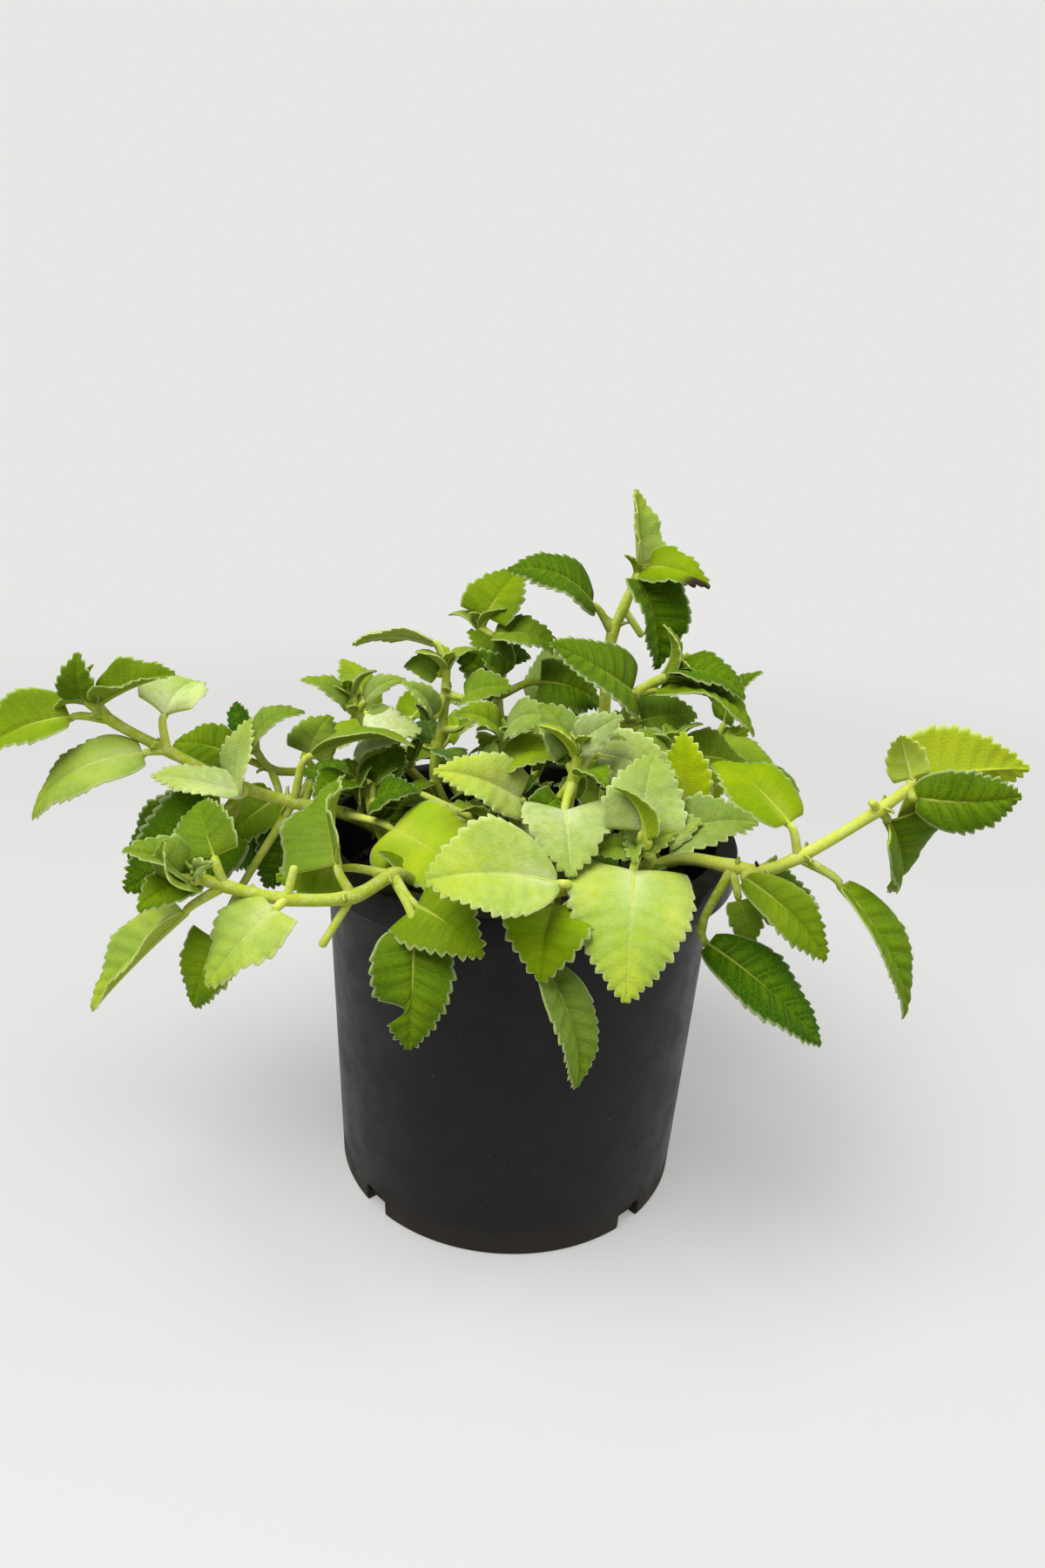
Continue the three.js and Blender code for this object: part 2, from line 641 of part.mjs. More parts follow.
// The wall runs up inside the lip, which turns out over it and comes down as a skirt.
function pot() {
  const skirt = RIM_RADIUS - POT_WALL;
  const underLip = POT_HEIGHT - 2 * POT_WALL;
  const mouth = upTheWall(POT_HEIGHT) - POT_WALL;
  const shell = lathe([
    [0, 0],
    [FOOT_RADIUS - EDGE_BEVEL, 0],
    [upTheWall(EDGE_BEVEL), EDGE_BEVEL],
    [upTheWall(underLip), underLip],
    [skirt, underLip],
    [skirt, NECK_HEIGHT],
    [RIM_RADIUS, NECK_HEIGHT],
    [RIM_RADIUS, POT_HEIGHT - LIP_BEVEL],
    [RIM_RADIUS - LIP_BEVEL, POT_HEIGHT],
    [mouth + EDGE_BEVEL, POT_HEIGHT],
    [mouth, POT_HEIGHT - EDGE_BEVEL],
    [upTheWall(POT_FLOOR) - POT_WALL, POT_FLOOR],
    [0, POT_FLOOR],
    [0, 0],
  ], POT_SIDES);
  const notches = Array.from({ length: NOTCH_COUNT }, (_, i) => {
    const cutter = new THREE.BoxGeometry(NOTCH_DEPTH + CUT_PAST, NOTCH_WIDTH, 2 * NOTCH_HEIGHT);
    cutter.translate(FOOT_RADIUS + (CUT_PAST - NOTCH_DEPTH) / 2, 0, 0);
    cutter.rotateZ(((i + 0.5) * 2 * Math.PI) / NOTCH_COUNT);
    return toSolid(cutter);
  });
  return toGeometry(shell.subtract(wasm.Manifold.union(notches)));
}

// Soil fills the pot, down to its floor, and has a hole for each stem's foot.
function soil() {
  const wallAt = (z) => upTheWall(z) - POT_WALL - SEAT_GAP;
  const bottom = POT_FLOOR + SEAT_GAP;
  const fill = lathe([
    [0, bottom],
    [wallAt(bottom), bottom],
    [wallAt(SOIL_EDGE), SOIL_EDGE],
    [SHOULDER_RADIUS, SOIL_SHOULDER],
    [MOUND_RADIUS, SOIL_TOP],
    [0, SOIL_TOP],
    [0, bottom],
  ], SOIL_SIDES);
  const holes = STEMS.map(({ path, thick }) => {
    const foot = footOf(path);
    foot.z -= SEAT_GAP;
    const radius = thick / 2 + SEAT_GAP / Math.cos(Math.PI / STEM_SIDES);
    return rodSolid([foot, vec(path[0]).setZ(SOIL_TOP + CUT_PAST)], [radius, radius], STEM_SIDES);
  });
  return toGeometry(fill.subtract(wasm.Manifold.union(holes)));
}

// ---- The object -------------------------------------------------------------------------------------

function addPiece(group, name, geometry, finish) {
  const mesh = new THREE.Mesh(geometry, new THREE.MeshStandardMaterial(finish));
  mesh.name = name;
  group.add(mesh);
}

const group = new THREE.Group();
addPiece(group, "pot", pot(), POT_FINISH);
addPiece(group, "soil", soil(), SOIL_FINISH);
for (const stem of STEMS) addPiece(group, stem.name, leafyStem(stem), LEAF_FINISH);

export default group;
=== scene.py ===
# A potted Cuban oregano: a black nursery pot, its potting mix, and the fleshy, hairy, toothed
# stems and leaves of one bushy plant. Metres, +Z up, the plant's front looks along -Y.
import math
import random

import bmesh
import bpy
from mathutils import Matrix, Vector, noise


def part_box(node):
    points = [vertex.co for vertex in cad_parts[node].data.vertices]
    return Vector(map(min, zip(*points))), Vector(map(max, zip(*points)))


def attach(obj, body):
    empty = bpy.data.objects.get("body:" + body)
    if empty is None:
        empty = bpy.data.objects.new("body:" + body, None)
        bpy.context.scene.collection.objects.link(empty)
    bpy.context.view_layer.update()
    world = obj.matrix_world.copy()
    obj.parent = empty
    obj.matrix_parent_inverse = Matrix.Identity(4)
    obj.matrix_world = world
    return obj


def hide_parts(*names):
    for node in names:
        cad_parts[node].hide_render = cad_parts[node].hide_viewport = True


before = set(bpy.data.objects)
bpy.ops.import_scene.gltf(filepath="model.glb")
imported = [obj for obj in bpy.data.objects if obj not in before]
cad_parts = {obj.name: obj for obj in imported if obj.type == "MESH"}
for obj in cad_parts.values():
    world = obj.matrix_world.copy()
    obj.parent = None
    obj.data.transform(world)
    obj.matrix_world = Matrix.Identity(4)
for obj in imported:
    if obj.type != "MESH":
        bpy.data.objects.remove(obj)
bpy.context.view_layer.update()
scene = bpy.context.scene

# ---- Camera --------------------------------------------------------------------------------------
# It stands in front of the plant, a little above it, and looks down at the pot. The level isn't
# quite true, so the picture leans a little to one side.

CAMERA_PLACE = Vector((0, -0.3382, 0.2649))
CAMERA_YAW = -0.0035
CAMERA_PITCH = 0.3353
CAMERA_ROLL = 0.0556
CAMERA_LENS = 23.52
CAMERA_SENSOR = 36
CAMERA_NEAR = 0.01

camera_data = bpy.data.cameras.new("camera")
camera_data.lens = CAMERA_LENS
camera_data.sensor_width = CAMERA_SENSOR
camera_data.clip_start = CAMERA_NEAR
camera = bpy.data.objects.new("camera", camera_data)
scene.collection.objects.link(camera)
scene.camera = camera
camera.matrix_world = (
    Matrix.Translation(CAMERA_PLACE) @ Matrix.Rotation(-CAMERA_YAW, 4, "Z")
    @ Matrix.Rotation(math.pi / 2 - CAMERA_PITCH, 4, "X") @ Matrix.Rotation(CAMERA_ROLL, 4, "Z")
)

# ---- Floor and light -----------------------------------------------------------------------------
# A plain pale floor that fades into a bright even sky all round. One broad soft light stands to
# the upper left in front, and a weaker one to the right.

FLOOR_REACH = 6
FLOOR_FADE = (0.25, 1.1)
FLOOR_GREY = (0.36, 0.36, 0.355, 1)
FLOOR_GLOW = (0.27, 0.27, 0.265, 1)
SKY_SEEN = (0.80, 0.805, 0.785, 1)
SKY_LIGHT = (0.30, 0.30, 0.30, 1)


class Nodes:
    """Short ways to add and link a material's nodes."""

    def __init__(self, material):
        self.tree = material.node_tree

    def add(self, kind, inputs=(), **settings):
        node = self.tree.nodes.new(kind)
        for key, value in settings.items():
            setattr(node, key, value)
        for key, value in dict(inputs).items():
            if isinstance(value, bpy.types.NodeSocket):
                self.tree.links.new(value, node.inputs[key])
            else:
                node.inputs[key].default_value = value
        return node

    def object_place(self):
        return self.add("ShaderNodeTexCoord").outputs["Object"]

    def link(self, value, socket):
        self.tree.links.new(value, socket)

    def math(self, operation, *values, clamp=False):
        node = self.add("ShaderNodeMath", enumerate(values), operation=operation, use_clamp=clamp)
        return node.outputs[0]

    def times(self, *values, clamp=False):
        return self.math("MULTIPLY", *values, clamp=clamp)

    def ramp(self, value, low, high, low_to=0.0, high_to=1.0):
        """Value from low..high to low_to..high_to, eased at both ends."""
        node = self.add("ShaderNodeMapRange", {
            "Value": value, "From Min": low, "From Max": high, "To Min": low_to, "To Max": high_to,
        }, interpolation_type="SMOOTHSTEP")
        return node.outputs["Result"]

    def mix(self, share, first, second):
        """Colour first turned into colour second by share."""
        node = self.add("ShaderNodeMix", {0: share, 6: first, 7: second}, data_type="RGBA")
        return node.outputs[2]

    def noise(self, vector, scale, detail=3.0, roughness=0.5):
        node = self.add("ShaderNodeTexNoise", {
            "Vector": vector, "Scale": scale, "Detail": detail, "Roughness": roughness,
        })
        return node.outputs["Fac"]

    def bump(self, height, strength, distance):
        node = self.add("ShaderNodeBump", {
            "Height": height, "Strength": strength, "Distance": distance,
        })
        return node.outputs["Normal"]


def new_material(name, constants):
    """A material, and its Principled shader with these numbers set."""
    made = bpy.data.materials.new(name)
    made.use_nodes = True
    shader = made.node_tree.nodes["Principled BSDF"]
    for socket, value in constants.items():
        shader.inputs[socket].default_value = value
    return made, shader


def mesh_object(name, bm, *materials):
    """The finished bmesh as a smooth object."""
    mesh = bpy.data.meshes.new(name)
    bm.to_mesh(mesh)
    bm.free()
    mesh.shade_smooth()
    for material in materials:
        mesh.materials.append(material)
    made = bpy.data.objects.new(name, mesh)
    scene.collection.objects.link(made)
    return made


floor_material, floor_shader = new_material("pale_floor", {
    "Base Color": FLOOR_GREY, "Emission Color": FLOOR_GLOW, "Emission Strength": 1,
    "Roughness": 0.8, "Specular IOR Level": 0.2,
})
n = Nodes(floor_material)
place = n.object_place()
out_from_middle = n.add("ShaderNodeVectorMath", {0: place}, operation="LENGTH").outputs["Value"]
open_air = n.add("ShaderNodeBsdfTransparent").outputs[0]
faded = n.add("ShaderNodeMixShader", {
    0: n.ramp(out_from_middle, *FLOOR_FADE), 1: floor_shader.outputs[0], 2: open_air,
})
n.link(faded.outputs[0], floor_material.node_tree.nodes["Material Output"].inputs["Surface"])
floor_bm = bmesh.new()
bmesh.ops.create_grid(floor_bm, x_segments=1, y_segments=1, size=FLOOR_REACH)
floor = mesh_object("floor", floor_bm, floor_material)

world = bpy.data.worlds.new("sky")
world.use_nodes = True
n = Nodes(world)
seen = n.add("ShaderNodeLightPath").outputs["Is Camera Ray"]
n.link(n.mix(seen, SKY_LIGHT, SKY_SEEN), world.node_tree.nodes["Background"].inputs["Color"])
scene.world = world


def soft_light(name, place, target, size, power):
    """A square area light at place, turned to look at target."""
    data = bpy.data.lights.new(name, "AREA")
    data.size = size
    data.energy = power
    lamp = bpy.data.objects.new(name, data)
    lamp.location = place
    lamp.rotation_euler = (Vector(target) - Vector(place)).to_track_quat("-Z", "Y").to_euler()
    scene.collection.objects.link(lamp)


PLANT_HEART = (0, 0, 0.15)
soft_light("key", (-0.5, -0.5, 1.5), PLANT_HEART, size=1.2, power=36)
soft_light("fill", (1.3, -0.1, 0.8), PLANT_HEART, size=1.6, power=15)
scene.view_settings.view_transform = "Standard"

# ---- Pot -----------------------------------------------------------------------------------------
# A thin pot moulded in one piece from black plastic, with draft on its wall so that it leaves the
# mould, a stiffening lip that turns out and down, and notches in its foot that drain it.

pot_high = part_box("pot")[1]
POT_HEIGHT = pot_high.z
RIM_RADIUS = pot_high.x
LIP_DROP = 0.011
NECK_RADIUS = 0.0685
FOOT_RADIUS = 0.0632
POT_WALL = 0.0016
POT_FLOOR = 0.003
POT_STEPS = 160
WALL_RINGS = (0.0095, 0.014, 0.04, 0.08)
EDGE_ROUND = 0.0006
NOTCH_COUNT = 4
NOTCH_WIDTH = 0.0105
NOTCH_HEIGHT = 0.008
NOTCH_DEPTH = 0.008
NOTCH_ROUND = 0.0022
SHARP_FROM = math.radians(35)
POT_BLACK = (0.0045, 0.0045, 0.0047, 1)
POT_SCUFFED = (0.012, 0.012, 0.012, 1)
POT_DUST = (0.09, 0.08, 0.07, 1)
POT_DIRT = (0.024, 0.018, 0.012, 1)
DIRT_HEIGHT = 0.02


def up_the_wall(z):
    return FOOT_RADIUS + (NECK_RADIUS - FOOT_RADIUS) * z / (POT_HEIGHT - LIP_DROP)


def turned_shape(profile, steps):
    """A closed outline of (radius, height) points, spun a full turn about the upright axis."""
    bm = bmesh.new()
    corners = [bm.verts.new((r, 0, z)) for r, z in profile]
    edges = [bm.edges.new((a, b)) for a, b in zip(corners, corners[1:])]
    bmesh.ops.spin(
        bm, geom=corners + edges, cent=(0, 0, 0), axis=(0, 0, 1), dvec=(0, 0, 0),
        angle=math.tau, steps=steps, use_merge=True, use_duplicate=False,
    )
    bmesh.ops.remove_doubles(bm, verts=bm.verts, dist=1e-6)
    bmesh.ops.recalc_face_normals(bm, faces=bm.faces)
    return bm


skirt = RIM_RADIUS - POT_WALL
under_lip = POT_HEIGHT - 2 * POT_WALL
neck_height = POT_HEIGHT - LIP_DROP
mouth = up_the_wall(POT_HEIGHT) - POT_WALL
pot_bm = turned_shape([
    (0, 0),
    (FOOT_RADIUS - 2 * EDGE_ROUND, 0),
    (FOOT_RADIUS - EDGE_ROUND / 2, EDGE_ROUND / 2),
    (up_the_wall(2 * EDGE_ROUND), 2 * EDGE_ROUND),
    *((up_the_wall(z), z) for z in WALL_RINGS),
    (up_the_wall(under_lip), under_lip),
    (skirt, under_lip),
    (skirt, neck_height + EDGE_ROUND),
    (skirt + EDGE_ROUND, neck_height),
    (RIM_RADIUS - EDGE_ROUND, neck_height),
    (RIM_RADIUS, neck_height + EDGE_ROUND),
    (RIM_RADIUS, POT_HEIGHT - 2 * EDGE_ROUND),
    (RIM_RADIUS - EDGE_ROUND / 2, POT_HEIGHT - EDGE_ROUND / 2),
    (RIM_RADIUS - 2 * EDGE_ROUND, POT_HEIGHT),
    (mouth + 2 * EDGE_ROUND, POT_HEIGHT),
    (mouth + EDGE_ROUND / 2, POT_HEIGHT - EDGE_ROUND / 2),
    (mouth, POT_HEIGHT - 2 * EDGE_ROUND),
    (up_the_wall(WALL_RINGS[0]) - POT_WALL, WALL_RINGS[0]),
    (up_the_wall(POT_FLOOR) - POT_WALL, POT_FLOOR),
    (0, POT_FLOOR),
], POT_STEPS)

notch_bm = bmesh.new()
for i in range(NOTCH_COUNT):
    turn = Matrix.Rotation((i + 0.5) * math.tau / NOTCH_COUNT, 4, "Z")
    size = Matrix.Diagonal((2 * NOTCH_DEPTH, NOTCH_WIDTH, 2 * NOTCH_HEIGHT, 1))
    bmesh.ops.create_cube(
        notch_bm, size=1, matrix=turn @ Matrix.Translation((FOOT_RADIUS, 0, 0)) @ size,
    )
bmesh.ops.bevel(
    notch_bm, geom=notch_bm.edges[:], offset=NOTCH_ROUND, offset_type="OFFSET", segments=4,
    affect="EDGES", profile=0.5, material=-1,
)

pot_material, pot_shader = new_material("black_moulded_plastic", {"Specular IOR Level": 0.2})
n = Nodes(pot_material)
place = n.object_place()
height = n.add("ShaderNodeSeparateXYZ", {0: place}).outputs["Z"]
blotches = n.noise(place, scale=90.0, detail=5.0, roughness=0.6)
low_down = n.ramp(height, 0.0, DIRT_HEIGHT, 1.0, 0.0)
dirt = n.ramp(n.times(low_down, blotches), 0.12, 0.5)
specks = n.ramp(n.noise(place, scale=900.0, detail=2.0), 0.70, 0.76)
scuffs = n.ramp(n.noise(place, scale=35.0, detail=6.0, roughness=0.7), 0.5, 0.75, 0.0, 0.35)
plastic = n.mix(scuffs, POT_BLACK, POT_SCUFFED)
dusty = n.mix(n.times(specks, 0.5), plastic, POT_DUST)
n.link(n.mix(dirt, dusty, POT_DIRT), pot_shader.inputs["Base Color"])
rough = n.math("ADD", n.ramp(blotches, 0.3, 0.7, 0.36, 0.5), n.times(dirt, 0.35))
n.link(rough, pot_shader.inputs["Roughness"])
pot_grain = n.bump(n.noise(place, scale=1400.0, detail=2.0), strength=0.12, distance=0.0002)
n.link(pot_grain, pot_shader.inputs["Normal"])

pot = mesh_object("nursery_pot", pot_bm, pot_material)
notch_cutter = mesh_object("notch_cutter", notch_bm)
cut = pot.modifiers.new("notches", "BOOLEAN")
cut.operation, cut.solver, cut.object = "DIFFERENCE", "EXACT", notch_cutter
pot_cut = pot.evaluated_get(bpy.context.evaluated_depsgraph_get())
uncut_mesh, pot.data = pot.data, bpy.data.meshes.new_from_object(pot_cut)
pot.modifiers.clear()
bpy.data.meshes.remove(uncut_mesh)
bpy.data.objects.remove(notch_cutter)
pot.data.set_sharp_from_angle(angle=SHARP_FROM)
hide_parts("pot")
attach(pot, "root")

# ---- Potting mix ---------------------------------------------------------------------------------
# Dark, crumbly peat and bark, heaped from the wall towards the middle. It is poured in and pressed
# down by hand, so its surface is lumpy, with loose crumbs lying on it.

soil_low, soil_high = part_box("soil")
SOIL_TOP = soil_high.z
SOIL_EDGE = 0.108
SOIL_FOOT = soil_low.z
SOIL_GAP = 0.0003
SOIL_ROUGHNESS = 0.0016
SOIL_RINGS = 40
SOIL_STEPS = 120
LUMP_SCALE = 160
LUMP_OCTAVES = (0.6, 2.1, 4)
LUMP_MIDDLE = 0.6
CRUMB_COUNT = 900
CRUMB_SIZES = (0.0006, 0.0022)
CRUMB_REACH = 0.93
CRUMB_SEED = 5
PEAT_DARK = (0.008, 0.006, 0.005, 1)
PEAT_BROWN = (0.05, 0.032, 0.02, 1)
BARK_BROWN = (0.13, 0.085, 0.05, 1)

draws = random.Random(CRUMB_SEED)


def wall_at(z):
    return up_the_wall(z) - POT_WALL - SOIL_GAP


def soil_height(x, y):
    """The surface's height, lumps included."""
    out = min(math.hypot(x, y) / wall_at(SOIL_EDGE), 1)
    heap = SOIL_EDGE + (SOIL_TOP - SOIL_EDGE) * (1 - out ** 3)
    lumps = noise.fractal(Vector((x, y, 0)) * LUMP_SCALE, *LUMP_OCTAVES)
    return min(heap + SOIL_ROUGHNESS * (lumps - LUMP_MIDDLE), SOIL_TOP)


rings = [(wall_at(SOIL_EDGE) * i / SOIL_RINGS, SOIL_EDGE) for i in range(SOIL_RINGS, -1, -1)]
soil_bm = turned_shape([(0, SOIL_FOOT), (wall_at(SOIL_FOOT), SOIL_FOOT), *rings], SOIL_STEPS)
for vert in soil_bm.verts:
    if vert.co.z > SOIL_EDGE - SOIL_GAP and vert.co.xy.length < wall_at(SOIL_EDGE) * 0.99:
        vert.co.z = soil_height(vert.co.x, vert.co.y)
for _ in range(CRUMB_COUNT):
    reach = CRUMB_REACH * wall_at(SOIL_EDGE) * math.sqrt(draws.random())
    turn = draws.uniform(0, math.tau)
    size = draws.uniform(*CRUMB_SIZES)
    at = Vector((reach * math.cos(turn), reach * math.sin(turn), 0))
    at.z = min(soil_height(at.x, at.y), SOIL_TOP - size)
    angle = draws.uniform(0, math.tau)
    spin = Matrix.Rotation(angle, 4, Vector([draws.gauss(0, 1) for _ in "xyz"]))
    shape = Matrix.Diagonal((size, size * draws.uniform(0.5, 1), size * draws.uniform(0.3, 0.8), 1))
    bmesh.ops.create_icosphere(
        soil_bm, subdivisions=1, radius=1, matrix=Matrix.Translation(at) @ spin @ shape,
    )

soil_material, soil_shader = new_material("potting_mix", {
    "Roughness": 0.95, "Specular IOR Level": 0.25,
})
n = Nodes(soil_material)
place = n.object_place()
grains = n.add("ShaderNodeTexVoronoi", {"Vector": place, "Scale": 520.0})
peat = n.noise(place, scale=240.0, detail=5.0, roughness=0.7)
peat = n.mix(peat, PEAT_DARK, PEAT_BROWN)
grain_shade = n.add("ShaderNodeSeparateColor", {0: grains.outputs["Color"]}).outputs[0]
bark = n.ramp(grain_shade, 0.86, 0.95)
n.link(n.mix(bark, peat, BARK_BROWN), soil_shader.inputs["Base Color"])
soil_grain = n.bump(n.noise(place, scale=700.0, detail=4.0), strength=0.7, distance=0.0008)
n.link(soil_grain, soil_shader.inputs["Normal"])
soil = mesh_object("potting_mix", soil_bm, soil_material)
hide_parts("soil")
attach(soil, "root")
